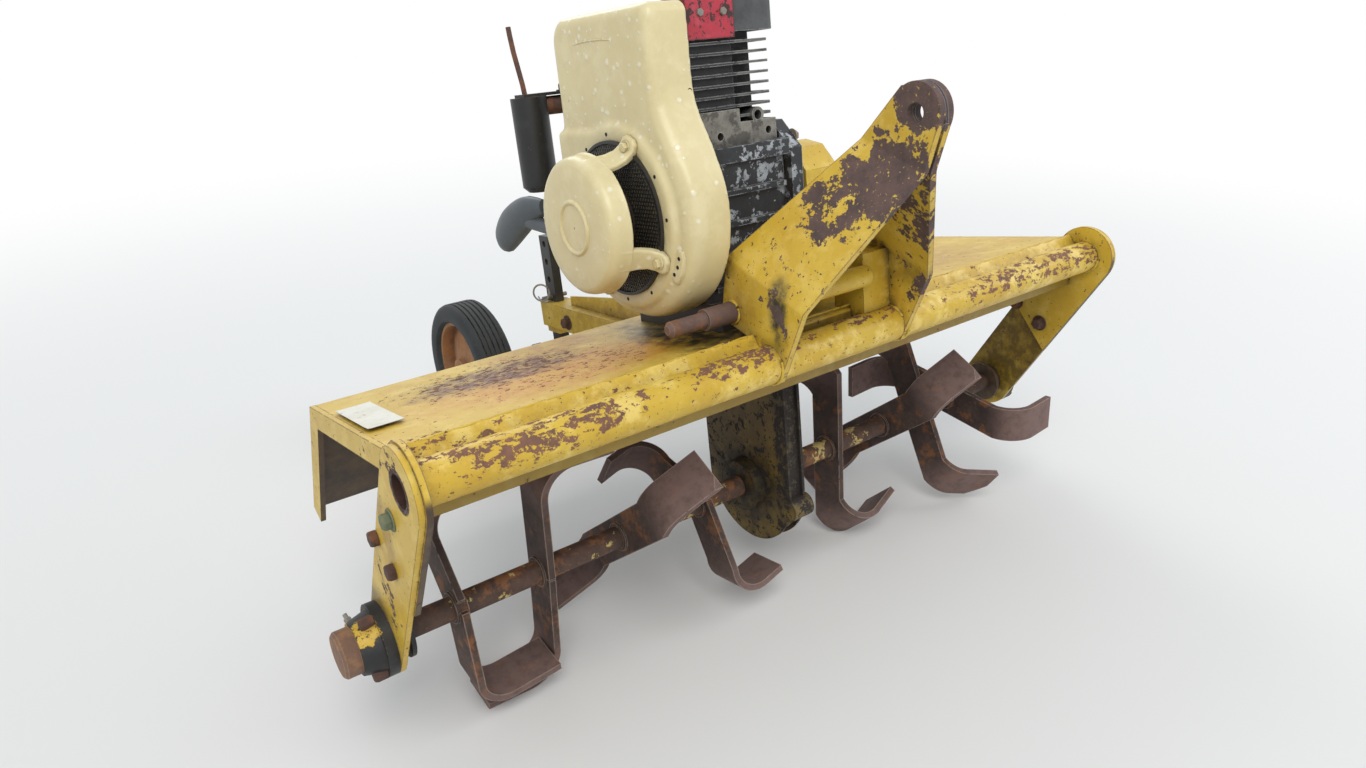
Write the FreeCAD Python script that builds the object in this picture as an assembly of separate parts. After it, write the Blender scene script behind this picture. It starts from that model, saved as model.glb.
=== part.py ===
import FreeCAD, Part
import math
import os

# Self-powered three-point rotary tiller, a 42 inch machine for a garden tractor.
# Built level in millimetres about the axis of the front tube: +X to the right seen from the tractor,
# +Y to the rear and +Z up. At the end everything is leaned back and stood on its tine tips and gauge wheel.

V = FreeCAD.Vector
AXIS_X = V(1, 0, 0)
AXIS_Y = V(0, 1, 0)
AXIS_Z = V(0, 0, 1)
BIG = 2000.0                # longer than anything here, for cutting tools only

# Stance
lean_back = 8.0             # degrees, top towards the rear

# Front tube and end arms
tube_length = 1066.8        # 42 inches over the arms
tube_diameter = 44.45
tube_bore = 33.0
arm_thickness = 6.35
arm_width = 84.0
rotor_axis_behind_tube = 171.0
rotor_axis_below_tube = 232.0

# Hood
hood_sheet = 3.2
hood_end_thickness = 6.35
hood_end_band = 25.0
hood_bend_radius = 4.0
skirt_below_tube = 45.0
hood_front_height = 27.0
hood_rear_edge = 301.0
hood_rear_height = 4.0
flap_run = 117.0            # the flap goes this far back
flap_drop = 166.0           # and this far down
end_tongue_front = 165.0    # length of the end frame's tongue beside the arm
end_tongue_rear = 138.0
end_tongue_lip = 2.0        # how far it stands out ahead of the arm

# Rotor bearings
bearing_flange_radius = 42.0
bearing_flange_thickness = 12.0
bearing_housing_radius = 36.0
bearing_housing_draft = 6.0
bearing_housing_length = 22.0
bearing_cap_radius = 26.5
bearing_cap_length = 19.0
bearing_cap_chamfer = 3.0
inner_boss_radius = 27.0
inner_boss_length = 16.0
dust_ring_radius = 32.0
dust_ring_width = 5.0
shaft_end_play = 1.0

# Rotor
shaft_diameter = 28.6
shaft_clearance = 0.08
tine_tip_radius = 160.0
tine_width = 52.0
tine_thickness = 9.0
tine_bend_radius = 34.0
tine_collar_radius = 19.0
tine_collar_length = 15.0

# Chain case
case_centre = 2.0
case_thickness = 28.0
case_radius = 80.0
case_cover_thickness = 4.0
case_cover_overhang = 5.0
case_boss_radius = 36.0
case_boss_length = 18.0
case_knob_radius = 16.0
case_knob_below_tube = 250.0
case_knob_length = 34.0

# Mast
mast_inside_width = 192.0
mast_plate_thickness = 8.0
mast_ear_inside = 4.0       # width of the spacer between the ears
mast_fold_tilt = 22.5       # degrees that the fold lines drop to the front
mast_lower_fold = 83.5      # height of the folds along the tilted plate
mast_upper_fold = 239.5
mast_ear_radius = 30.0
top_link_hole = 20.0
top_link_ahead_of_tube = 132.0
top_link_above_tube = 258.5
spacer_foot_height = 12.0
cross_tube_diameter = 25.4
cross_tube_ahead = 4.0
cross_tube_height = 70.0
bracket_width = 46.0
bracket_depth = 48.0
bracket_height = 95.0
bracket_wall = 6.0
hitch_pin_height = 52.0
hitch_pin_behind_tube = 59.0
hitch_pin_diameter = 18.5
hitch_pin_shoulder = 25.0
hitch_pin_shoulder_length = 42.0
hitch_pin_length = 93.0
hitch_pin_chamfer = 4.0

# Engine base on the hood
base_left = 100.0
base_right = 58.0
base_front = 84.0
base_length = 178.0
base_tunnel_left = 60.0
base_tunnel_right = 18.0
base_plate_thickness = 12.0

# Crankcase, with the crankshaft along X
crank_behind_tube = 170.0
crank_above_tube = 163.0
crankcase_right = 24.0
crankcase_front = 92.0
crankcase_length = 160.0
crankcase_bottom = 56.0
crankcase_top = 232.0
crankcase_corner = 10.0
crankcase_flange_height = 18.0
crankcase_flange_overhang = 7.0
crankcase_rib_depth = 8.0
crankcase_rib_height = 6.0
crankcase_rib_pitch = 36.0
crankcase_rib_count = 4
bearing_plate_thickness = 18.0
bearing_plate_across = 172.0
bearing_plate_height = 196.0
bearing_plate_corner = 32.0

# Cylinder and head
cylinder_left = -105.0
cylinder_step = -39.0       # X of the step between the two halves of the fins
cylinder_right = 15.0       # right end of the fins
cylinder_front = 98.0
cylinder_length = 142.0
cylinder_web_inset = 7.0
cylinder_barrel_inset = 24.0
cylinder_barrel_right = 1.0
fin_count = 8
fin_pitch = 11.5
fin_thickness = 3.0
fin_lowest = 262.0
fin_corner = 12.0
valve_pad_front = 94.0
valve_pad_left = -103.0
valve_pad_middle = -42.0
valve_pad_right = 12.0
valve_pad_top = 272.0
valve_pad_low_top = 257.0
valve_pad_hole = 9.0
valve_pad_hole_height = 244.0
breather_diameter = 18.0
breather_bore = 11.0
breather_length = 16.0
head_gap = 9.0
head_right = 25.0
head_height = 43.0
head_corner = 14.0
shroud_height = 45.0
shroud_drop = 6.0
shroud_front = 96.0

# Blower housing: a scroll round the crankshaft and a duct up to the cylinder
blower_back = -112.0        # X of the open side of the blower housing
blower_depth = 54.0
blower_face_proud = 6.0
blower_scroll_radius = 124.0
scroll_front_centre = 160.0
scroll_rear_centre = 179.0
scroll_centre_height = 167.0
blower_edge = 10.0
duct_front = 86.0
duct_rear = 283.0
duct_top = 383.0
duct_top_corner = 18.0
face_radius = 104.0
face_block_front = 174.0
face_block_rear = 287.0
face_block_top = 264.0

# Recoil starter
starter_screen_radius = 85.0
starter_screen_thickness = 6.0
starter_cup_radius = 78.0
starter_cup_draft = 4.0
starter_cup_depth = 55.0
starter_cup_chamfer = 7.0
starter_ring_radius = 33.5
starter_ring_width = 5.0
starter_ring_height = 3.0
starter_arm_reach = 103.0
starter_arm_width = 26.0
starter_arm_height = 15.0
starter_foot_height = 5.0
starter_arm_first = 27.0    # degrees from +Y towards +Z
grip_radius = 14.5
grip_end_radius = 11.0
grip_ahead_of_face = 28.0
stem_radius = 10.0
stem_height = 145.0
stem_end = 352.0

# Exhaust can at the rear of the engine
can_x = -152.0
can_y = 392.0
can_radius = 24.0
can_bottom = 183.0
can_top = 305.0
can_chamfer = 7.0
can_bar_length = 130.0
can_bar_width = 26.0
can_bar_thickness = 4.0
exhaust_port_x = -70.0
pipe_diameter = 24.0
pipe_below_can_top = 13.0

# Belt drive cover
guard_left = 58.0
guard_width = 54.0
guard_front = 96.0
guard_length = 159.0
guard_height = 220.0

# Tail, depth post and gauge wheel
tail_centre = 12.0
tail_width = 44.0
tail_bottom = 96.0          # below the tube axis
tail_behind_post = 19.0
gusset_thickness = 5.0
gusset_end = 656.0
gusset_end_height = 15.0
post_behind_tube = 716.0
post_width = 32.0
post_depth = 16.0
post_top = 66.0
post_below_axle = 14.0
post_hole = 11.0
post_hole_pitch = 32.0
post_hole_first = 60.0      # above the wheel axle
post_clearance = 0.5
socket_wall = 5.0
socket_top = 52.0           # both below the tube axis
socket_bottom = 110.0
foot_width = 28.0
axle_behind_post = 106.0
axle_diameter = 19.0
axle_end = 14.0
collar_radius = 14.0
collar_width = 6.0
collar_gap = 6.0
wheel_centre = -123.0       # X of the middle of the tyre
wheel_radius = 127.0
tyre_width = 66.0
tyre_section = 34.0
tyre_shoulder = 9.0
tyre_bead_width = 46.0
rim_thickness = 5.0
rim_dish = 16.0
rim_web = 8.0
wheel_hub_radius = 24.0
wheel_hub_width = 56.0

cos_lean = math.cos(math.radians(lean_back))
sin_lean = math.sin(math.radians(lean_back))
half_length = tube_length / 2
tube_radius = tube_diameter / 2
rotor_y = rotor_axis_behind_tube
rotor_z = -rotor_axis_below_tube
rotor_drop = math.hypot(rotor_y, rotor_z)
bore_radius = shaft_diameter / 2 + shaft_clearance

parts = {}


def box(x0, x1, y0, y1, z0, z1):
    return Part.makeBox(x1 - x0, y1 - y0, z1 - z0, V(x0, y0, z0))


def rod(x0, x1, y, z, radius):
    return Part.makeCylinder(radius, x1 - x0, V(x0, y, z), AXIS_X)


def long_rod(y, z, radius):
    """Cutting tool for a bore that runs right through."""
    return rod(-BIG, BIG, y, z, radius)


def turned(profile, y, z):
    """Turned piece about an axis along X, from a closed profile of (x, radius) points."""
    wire = Part.makePolygon([V(x, y, z + r) for x, r in profile + profile[:1]])
    return Part.Face(wire).revolve(V(0, y, z), AXIS_X, 360)


def plate_x(points, x0, thickness):
    """Plate square to X from a closed outline of (y, z) points."""
    wire = Part.makePolygon([V(x0, y, z) for y, z in points + points[:1]])
    return Part.Face(wire).extrude(V(thickness, 0, 0))


def plate_y(points, y0, thickness):
    """Plate square to Y from a closed outline of (x, z) points."""
    wire = Part.makePolygon([V(x, y0, z) for x, z in points + points[:1]])
    return Part.Face(wire).extrude(V(0, thickness, 0))


def sheet_outline(path, thickness):
    """Closed outline of a bent sheet that lies to the left of its path."""
    normals = []
    for (y0, z0), (y1, z1) in zip(path, path[1:]):
        length = math.hypot(y1 - y0, z1 - z0)
        normals.append((-(z1 - z0) / length, (y1 - y0) / length))
    far = [(path[0][0] + normals[0][0] * thickness, path[0][1] + normals[0][1] * thickness)]
    for (a, b), (c, d), (y, z) in zip(normals, normals[1:], path[1:-1]):
        scale = thickness / (1 + a * c + b * d)
        far.append((y + (a + c) * scale, z + (b + d) * scale))
    far.append((path[-1][0] + normals[-1][0] * thickness, path[-1][1] + normals[-1][1] * thickness))
    return path + far[::-1]


def both_sides(name, shape):
    parts[name + "_left"] = shape
    parts[name + "_right"] = shape.mirror(V(0, 0, 0), AXIS_X)


def slot_link(x0, thickness, y0, z0, y1, z1, width):
    """Flat bar with two round ends, square to X."""
    length = math.hypot(y1 - y0, z1 - z0)
    bar = Part.makeBox(thickness, length, width, V(x0, 0, -width / 2))
    bar.rotate(V(0, 0, 0), AXIS_X, math.degrees(math.atan2(z1 - z0, y1 - y0)))
    bar.translate(V(0, y0, z0))
    ends = [rod(x0, x0 + thickness, y, z, width / 2) for y, z in ((y0, z0), (y1, z1))]
    return bar.fuse(ends).removeSplitter()


def edges_where(shape, test):
    return [edge for edge in shape.Edges if test(edge.BoundBox)]


# Front tube, open at both ends
tube = rod(-half_length, half_length, 0, 0, tube_radius)
parts["main_tube"] = tube.cut(long_rod(0, 0, tube_bore / 2))

# End arms down to the rotor
arm = slot_link(-half_length, arm_thickness, 0, 0, rotor_y, rotor_z, arm_width)
both_sides("arm", arm.cut([long_rod(0, 0, tube_radius), long_rod(rotor_y, rotor_z, inner_boss_radius)]))

# Hood of one bent sheet: skirt behind the tube, top, and a flap that flares to the rear
hood_end_x = -half_length + arm_thickness + hood_end_thickness
flap_edge_y = hood_rear_edge + flap_run
flap_edge_z = hood_rear_height - flap_drop
hood_path = [(flap_edge_y, flap_edge_z),
             (hood_rear_edge, hood_rear_height),
             (tube_radius, hood_front_height),
             (tube_radius, -skirt_below_tube)]
hood = plate_x(sheet_outline(hood_path, hood_sheet), hood_end_x, -2 * hood_end_x)
bends = edges_where(hood, lambda b: b.XLength > half_length and b.ZMin > -skirt_below_tube + 2 * hood_sheet)
hood = hood.makeFillet(hood_bend_radius, bends)
parts["hood_sheet"] = hood

# End frames of the hood: a band along the top and the flap, and a tongue beside the arm
band = plate_x(sheet_outline(hood_path, hood_end_band), -half_length + arm_thickness, hood_end_thickness)
down = (rotor_y / rotor_drop, rotor_z / rotor_drop)
lip = arm_width / 2 + end_tongue_lip
tongue_corners = [(0, -arm_width / 2), (end_tongue_rear, -arm_width / 2), (end_tongue_front, lip), (0, lip)]
tongue = plate_x([(a * down[0] + b * down[1], a * down[1] - b * down[0]) for a, b in tongue_corners],
                 -half_length + arm_thickness, hood_end_thickness)
tongue_top = rod(-half_length + arm_thickness, hood_end_x, 0, 0, lip)
end_frame = band.fuse([tongue, tongue_top]).removeSplitter()
both_sides("hood_end", end_frame.cut(long_rod(0, 0, tube_radius)))

# Rotor bearings on the arms, each turned in one piece with its flange and inner boss
flange_x = -half_length - bearing_flange_thickness
housing_x = flange_x - bearing_housing_length
boss_end = -half_length + arm_thickness + inner_boss_length
both_sides("bearing", turned([
    (housing_x, bore_radius), (housing_x, bearing_housing_radius - bearing_housing_draft),
    (flange_x, bearing_housing_radius), (flange_x, bearing_flange_radius),
    (-half_length, bearing_flange_radius), (-half_length, inner_boss_radius),
    (boss_end - dust_ring_width, inner_boss_radius), (boss_end - dust_ring_width, dust_ring_radius),
    (boss_end, dust_ring_radius), (boss_end, bore_radius)], rotor_y, rotor_z))
cap_x = housing_x - bearing_cap_length
both_sides("bearing_cap", turned([
    (cap_x, 0), (cap_x, bearing_cap_radius - bearing_cap_chamfer),
    (cap_x + bearing_cap_chamfer, bearing_cap_radius), (housing_x, bearing_cap_radius),
    (housing_x, 0)], rotor_y, rotor_z))

# Rotor shaft between the caps
shaft_end = -housing_x - shaft_end_play
parts["rotor_shaft"] = rod(-shaft_end, shaft_end, rotor_y, rotor_z, shaft_diameter / 2)


def tine_half(side, reach, bend, skew, blade):
    """One half of a tine bar along +Y from the shaft, with a blade bent to one side of it."""
    half = tine_width / 2
    lean = math.tan(math.radians(skew)) * half
    near, far = reach - lean, reach + lean
    bar = plate_x([(0, -half), (near, -half), (far, half), (0, half)], -tine_thickness / 2, tine_thickness)
    end = Part.Face(Part.makePolygon([
        V(-tine_thickness / 2, near, -half), V(tine_thickness / 2, near, -half),
        V(tine_thickness / 2, far, half), V(-tine_thickness / 2, far, half), V(-tine_thickness / 2, near, -half)]))
    along = V(0, math.sin(math.radians(skew)), math.cos(math.radians(skew)))
    across = V(0, math.cos(math.radians(skew)), -math.sin(math.radians(skew)))
    pivot = V(side * (tine_thickness / 2 + tine_bend_radius), reach, 0)
    knee = end.revolve(pivot, along, -side * bend)
    tip = end.copy()
    tip.rotate(pivot, along, -side * bend)
    out = FreeCAD.Rotation(along, -side * bend).multVec(across)
    return bar.fuse([knee, tip.extrude(out * blade)]).removeSplitter()


def tine_bar(x, row):
    near = tine_half(row["side"], row["reach"], row["bend"], row["skew"], row["blade"])
    far = tine_half(row["other"], row["reach"], row["bend"], row["skew"], row["blade"])
    near.rotate(V(0, 0, 0), AXIS_X, row["angle"])
    far.rotate(V(0, 0, 0), AXIS_X, row["far_angle"])
    collar = rod(-tine_collar_length / 2, tine_collar_length / 2, 0, 0, tine_collar_radius)
    bar = near.fuse([far, collar]).common(long_rod(0, 0, tine_tip_radius))
    bar = bar.cut(long_rod(0, 0, shaft_diameter / 2))
    bar.translate(V(x, rotor_y, rotor_z))
    return bar.removeSplitter()


# Tine bars. place is the share of the free shaft between bearing and chain case, angle and far_angle are
# where the two ends point (degrees from +Y towards +Z), side and other are the sides that they bend to,
# reach is the distance of the bend from the shaft, and blade the length beyond it.
LEFT_TINES = [
    dict(place=0.127, angle=266, side=1, far_angle=52, other=1, reach=85, bend=96, skew=-17, blade=61),
    dict(place=0.356, angle=280, side=-1, far_angle=97, other=1, reach=109, bend=92, skew=-4, blade=56),
    dict(place=0.598, angle=147, side=1, far_angle=327, other=-1, reach=92, bend=56, skew=25, blade=58),
    dict(place=0.856, angle=243, side=1, far_angle=15, other=-1, reach=88, bend=106, skew=-24, blade=31),
]
RIGHT_TINES = [
    dict(place=0.233, angle=272, side=1, far_angle=92, other=-1, reach=100.5, bend=110, skew=40, blade=52),
    dict(place=0.478, angle=147, side=1, far_angle=327, other=-1, reach=92, bend=56, skew=25, blade=58),
    dict(place=0.650, angle=249, side=1, far_angle=69, other=-1, reach=101, bend=66, skew=30, blade=58),
    dict(place=0.806, angle=193, side=1, far_angle=13, other=-1, reach=95, bend=95, skew=10, blade=50),
]
case_x0 = case_centre - case_thickness / 2
case_x1 = case_centre + case_thickness / 2
free_left = (boss_end, case_x0 - case_boss_length)
free_right = (case_x1 + case_boss_length, -boss_end)
for name, table, free in (("tines_left", LEFT_TINES, free_left), ("tines_right", RIGHT_TINES, free_right)):
    bars = [tine_bar(free[0] + row["place"] * (free[1] - free[0]), row) for row in table]
    parts[name] = Part.makeCompound(bars)

# Chain case from the hood down to the rotor, with two cover plates that stand out round its rim
under_hood = plate_x([(tube_radius + hood_sheet, -BIG),
                      (tube_radius + hood_sheet, hood_front_height - hood_sheet),
                      (hood_rear_edge, hood_rear_height - hood_sheet), (hood_rear_edge, -BIG)],
                     -half_length, tube_length)
case = slot_link(case_x0, case_thickness, rotor_y, 0, rotor_y, rotor_z, 2 * case_radius)
for x in (case_x0, case_x1 - case_cover_thickness):
    case = case.fuse(slot_link(x, case_cover_thickness, rotor_y, 0, rotor_y, rotor_z,
                               2 * (case_radius + case_cover_overhang)))
knob = rod(case_x1 - case_knob_length + case_cover_overhang, case_x1 + case_cover_overhang,
           rotor_y - case_radius, -case_knob_below_tube, case_knob_radius)
case = case.fuse(knob).common(under_hood).cut(hood)
boss = rod(free_left[1], free_right[0], rotor_y, rotor_z, case_boss_radius)
parts["chain_case"] = case.fuse(boss).cut(long_rod(rotor_y, rotor_z, bore_radius)).removeSplitter()

# Mast of two folded plates that meet over a spacer
mast_low_x = -mast_inside_width / 2 - mast_plate_thickness
mast_high_x = -mast_ear_inside / 2 - mast_plate_thickness
fold_bottom = -2 * skirt_below_tube
fold_top = mast_upper_fold + 4 * mast_ear_radius
fold_path = [(mast_high_x, fold_top), (mast_high_x, mast_upper_fold), (mast_low_x, mast_lower_fold),
             (mast_low_x, fold_bottom)]
fold = plate_y(sheet_outline(fold_path, mast_plate_thickness), -BIG, 2 * BIG)
fold_edges = edges_where(fold, lambda b: b.YLength > BIG and fold_bottom + 1 < b.ZMin and b.ZMax < fold_top - 1)
fold = fold.makeFillet(mast_plate_thickness, fold_edges)
fold.rotate(V(0, 0, 0), AXIS_X, mast_fold_tilt)
hole_y, hole_z = -top_link_ahead_of_tube, top_link_above_tube
mast_outline = [(-15, -20), (-59, 66), (-141, 200.5), (-161, 251), (-115, 285), (-55, 230), (62, 116),
                (80, 42), (26, 24)]
outline = plate_x(mast_outline, mast_low_x, -mast_low_x)
outline = outline.fuse(rod(mast_low_x, 0, hole_y, hole_z, mast_ear_radius))
mast = fold.common(outline)
both_sides("mast_plate", mast.cut([hood, long_rod(0, 0, tube_radius), long_rod(hole_y, hole_z, top_link_hole / 2)]))
spacer = rod(-mast_ear_inside / 2, mast_ear_inside / 2, hole_y, hole_z, mast_ear_radius)
spacer = spacer.fuse(box(-mast_ear_inside / 2, mast_ear_inside / 2, hole_y - mast_ear_radius,
                         hole_y + mast_ear_radius, hole_z - spacer_foot_height, hole_z))
parts["mast_spacer"] = spacer.cut(long_rod(hole_y, hole_z, top_link_hole / 2)).removeSplitter()
bracket_left = mast_inside_width / 2 - bracket_width
parts["mast_cross_tube"] = rod(-mast_inside_width / 2, bracket_left, -cross_tube_ahead, cross_tube_height,
                               cross_tube_diameter / 2)

# Stepped hitch pins on the mast plates
pin_x = mast_low_x - hitch_pin_length
shoulder_x = mast_low_x - hitch_pin_shoulder_length
pin_radius = hitch_pin_diameter / 2
both_sides("hitch_pin", turned([
    (pin_x, 0), (pin_x, pin_radius - hitch_pin_chamfer), (pin_x + hitch_pin_chamfer, pin_radius),
    (shoulder_x, pin_radius), (shoulder_x, hitch_pin_shoulder / 2), (mast_low_x, hitch_pin_shoulder / 2),
    (mast_low_x, 0)], hitch_pin_behind_tube, hitch_pin_height))

# Bracket between the mast plates, open below and behind
below_hood = plate_x([(tube_radius, -BIG), (tube_radius, hood_front_height), (hood_rear_edge, hood_rear_height),
                      (hood_rear_edge, -BIG)], -half_length, tube_length)
bracket = box(bracket_left, mast_inside_width / 2, 0, bracket_depth, 0, bracket_height)
bracket = bracket.cut(box(bracket_left + bracket_wall, mast_inside_width / 2 - bracket_wall, bracket_wall, BIG,
                          -BIG, bracket_height - bracket_wall))
parts["mast_bracket"] = bracket.cut([long_rod(0, 0, tube_radius), below_hood, parts["mast_plate_right"]])

# Engine base on the hood
above_hood = plate_x([(tube_radius, hood_front_height), (hood_rear_edge, hood_rear_height), (hood_rear_edge, BIG),
                      (tube_radius, BIG)], -half_length, tube_length)
base = box(-base_left, base_right, base_front, base_front + base_length, 0, crankcase_bottom)
tunnel = box(-base_tunnel_left, base_tunnel_right, -BIG, BIG, -BIG, crankcase_bottom - base_plate_thickness)
parts["engine_base"] = base.cut(tunnel).common(above_hood)

# Crankcase with a flange under the cylinder and ribs on its front
crank_y, crank_z = crank_behind_tube, crank_above_tube
crankcase_rear = crankcase_front + crankcase_length
flange_z = crankcase_top - crankcase_flange_height
block = box(blower_back, crankcase_right, crankcase_front, crankcase_rear, crankcase_bottom, flange_z)
block = block.makeFillet(crankcase_corner, edges_where(block, lambda b: b.XLength + b.YLength < 1))
flange = box(blower_back, crankcase_right, crankcase_front - crankcase_flange_overhang, crankcase_rear,
             flange_z, crankcase_top)
rib_x0, rib_x1 = blower_back + crankcase_corner, crankcase_right - crankcase_corner
ribs = []
for index in range(crankcase_rib_count):
    z = flange_z - (index + 1) * crankcase_rib_pitch
    ribs.append(box(rib_x0, rib_x1, crankcase_front - crankcase_rib_depth, crankcase_front + crankcase_corner,
                    z, z + crankcase_rib_height))
parts["crankcase"] = block.fuse(ribs + [flange]).removeSplitter()

# Eight-sided bearing plate on the drive side of the crankcase
plate_y0, plate_y1 = crank_y - bearing_plate_across / 2, crank_y + bearing_plate_across / 2
plate_z0, plate_z1 = crankcase_bottom, crankcase_bottom + bearing_plate_height
cut = bearing_plate_corner
plate_outline = [(plate_y0, plate_z0 + cut), (plate_y0 + cut, plate_z0), (plate_y1 - cut, plate_z0),
                 (plate_y1, plate_z0 + cut), (plate_y1, plate_z1 - cut), (plate_y1 - cut, plate_z1),
                 (plate_y0 + cut, plate_z1), (plate_y0, plate_z1 - cut)]
parts["bearing_plate"] = plate_x(plate_outline, crankcase_right, bearing_plate_thickness)

# Cylinder: fins in two steps on a barrel, with the bare valve pad and the breather below them
cylinder_rear = cylinder_front + cylinder_length
fin_top = fin_lowest + (fin_count - 1) * fin_pitch + fin_thickness
head_z = fin_top + head_gap
web = box(cylinder_left + cylinder_web_inset, cylinder_step, cylinder_front + cylinder_web_inset,
          cylinder_rear - cylinder_web_inset, crankcase_top, head_z - shroud_drop)
barrel = box(cylinder_step, cylinder_barrel_right, cylinder_front + cylinder_barrel_inset,
             cylinder_rear - cylinder_barrel_inset, crankcase_top, head_z)
fins = []
for index in range(fin_count):
    z = fin_lowest + index * fin_pitch
    fin = box(cylinder_left, cylinder_right, cylinder_front, cylinder_rear, z, z + fin_thickness)
    fins.append(fin.makeFillet(fin_corner, edges_where(fin, lambda b: b.XLength + b.YLength < 1 and b.XMin > 0)))
pads = [box(valve_pad_left, valve_pad_middle, valve_pad_front, crank_y, crankcase_top, valve_pad_top),
        box(valve_pad_middle, valve_pad_right, valve_pad_front, crank_y, crankcase_top, valve_pad_low_top)]
breather_x = (valve_pad_middle + valve_pad_right) / 2
breather_z = valve_pad_low_top + breather_bore / 2
breather = Part.makeCylinder(breather_diameter / 2, crank_y - valve_pad_front,
                             V(breather_x, valve_pad_front, breather_z), AXIS_Y)
drills = [Part.makeCylinder(breather_bore / 2, breather_length, V(breather_x, valve_pad_front, breather_z), AXIS_Y)]
for x in ((valve_pad_left + valve_pad_middle) / 2, valve_pad_right - valve_pad_hole - fin_thickness):
    drills.append(Part.makeCylinder(valve_pad_hole / 2, breather_length,
                                    V(x, valve_pad_front, valve_pad_hole_height), AXIS_Y))
parts["cylinder"] = barrel.fuse([web] + fins + pads + [breather]).cut(drills).removeSplitter()
head = box(cylinder_step, head_right, cylinder_front, cylinder_rear, head_z, head_z + head_height)
head = head.makeFillet(head_corner, edges_where(head, lambda b: b.XLength + b.YLength < 1 and b.XMin > 0))
parts["cylinder_head"] = head
parts["head_shroud"] = box(cylinder_left, cylinder_step, shroud_front, cylinder_rear, head_z - shroud_drop,
                           head_z - shroud_drop + shroud_height)

# Blower housing: two scroll rounds and a duct behind one outer face
blower_front = blower_back - blower_depth
face_x = blower_front - blower_face_proud
rounds = []
for y in (scroll_front_centre, scroll_rear_centre):
    rounds.append(turned([
        (blower_front, 0), (blower_front, blower_scroll_radius - blower_edge),
        (blower_front + blower_edge, blower_scroll_radius), (blower_back, blower_scroll_radius),
        (blower_back, 0)], y, scroll_centre_height))
duct = box(blower_front, blower_back, duct_front, duct_rear, crank_z, duct_top)
duct = duct.makeFillet(duct_top_corner, edges_where(duct, lambda b: b.YMin > duct_rear - 1 and b.ZMin > duct_top - 1))
duct = duct.makeChamfer(blower_edge, edges_where(duct, lambda b: b.XLength < 1 and b.XMax < blower_front + 1
                                                 and b.ZMax > duct_top - 2 * duct_top_corner))
face = rod(face_x, blower_front, crank_y, crank_z, face_radius)
face = face.fuse(box(face_x, blower_front, face_block_front, face_block_rear, crank_z, face_block_top))
parts["blower_housing"] = rounds[0].fuse([rounds[1], duct, face]).removeSplitter()

# Recoil starter: screen, cup with a raised ring, and four arms to the blower face
screen_x = face_x - starter_screen_thickness
parts["starter_screen"] = rod(screen_x, face_x, crank_y, crank_z, starter_screen_radius)
cup_x = screen_x - starter_cup_depth
cup = turned([
    (cup_x, 0), (cup_x, starter_ring_radius - starter_ring_width),
    (cup_x - starter_ring_height, starter_ring_radius - starter_ring_width),
    (cup_x - starter_ring_height, starter_ring_radius), (cup_x, starter_ring_radius),
    (cup_x, starter_cup_radius - starter_cup_draft - starter_cup_chamfer),
    (cup_x + starter_cup_chamfer, starter_cup_radius - starter_cup_draft),
    (screen_x, starter_cup_radius), (screen_x, 0)], crank_y, crank_z)
arms = []
for index in range(4):
    arm_bar = box(screen_x - starter_arm_height, screen_x, -starter_arm_width / 2, starter_arm_width / 2,
                  starter_ring_radius, starter_screen_radius)
    foot = box(face_x - starter_screen_thickness - starter_foot_height, face_x, -starter_arm_width / 2,
               starter_arm_width / 2, starter_screen_radius, starter_arm_reach)
    arm_bar = arm_bar.fuse(foot)
    arm_bar.rotate(V(0, 0, 0), AXIS_X, starter_arm_first + 90 * index - 90)
    arm_bar.translate(V(0, crank_y, crank_z))
    arms.append(arm_bar)
parts["starter_cup"] = cup.fuse(arms).removeSplitter()


def ring_of_points(centre, radius, along, count):
    """Closed wire of a regular polygon round a point, square to a direction in the YZ plane."""
    up = V(0, -along.z, along.y)
    points = []
    for index in range(count + 1):
        turn = 2 * math.pi * index / count
        points.append(centre + V(1, 0, 0) * (radius * math.cos(turn)) + up * (radius * math.sin(turn)))
    return Part.makePolygon(points)


# Curved pull handle on a stem
GRIP_PATH = [(318, 178), (352, 166), (392, 146), (428, 124)]
grip_x = face_x - grip_ahead_of_face
grip_rings = []
for index, (y, z) in enumerate(GRIP_PATH):
    before = GRIP_PATH[max(index - 1, 0)]
    after = GRIP_PATH[min(index + 1, len(GRIP_PATH) - 1)]
    along = V(0, after[0] - before[0], after[1] - before[1]).normalize()
    radius = grip_end_radius if index in (0, len(GRIP_PATH) - 1) else grip_radius
    grip_rings.append(ring_of_points(V(grip_x, y, z), radius, along, 12))
grip = Part.makeLoft(grip_rings, True, True)
stem = Part.makeCylinder(stem_radius, stem_end - crank_y, V(grip_x, crank_y, stem_height), AXIS_Y)
parts["pull_handle"] = stem.cut(parts["starter_cup"]).fuse(grip).removeSplitter()

# Exhaust can with a flat bar on its top, and the pipe that carries it
can = Part.makeCylinder(can_radius, can_top - can_bottom, V(can_x, can_y, can_bottom), AXIS_Z)
can = can.makeChamfer(can_chamfer, edges_where(can, lambda b: b.ZMax < can_bottom + 1 and b.ZLength < 1))
can_bar = box(can_x - can_bar_width / 2, can_x - can_bar_width / 2 + can_bar_length, can_y - can_bar_width / 2,
              can_y + can_bar_width / 2, can_top, can_top + can_bar_thickness)
parts["exhaust_can"] = can.fuse(can_bar)
pipe_radius = pipe_diameter / 2
pipe_z = can_top - pipe_below_can_top
spine = Part.makePolygon([V(exhaust_port_x, cylinder_rear, pipe_z), V(exhaust_port_x, can_y, pipe_z),
                          V(can_x, can_y, pipe_z)])
section = Part.Wire(Part.makeCircle(pipe_radius, V(exhaust_port_x, cylinder_rear, pipe_z), AXIS_Y))
sweep = Part.BRepOffsetAPI.MakePipeShell(spine)
sweep.setTransitionMode(1)
sweep.add(section)
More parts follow.
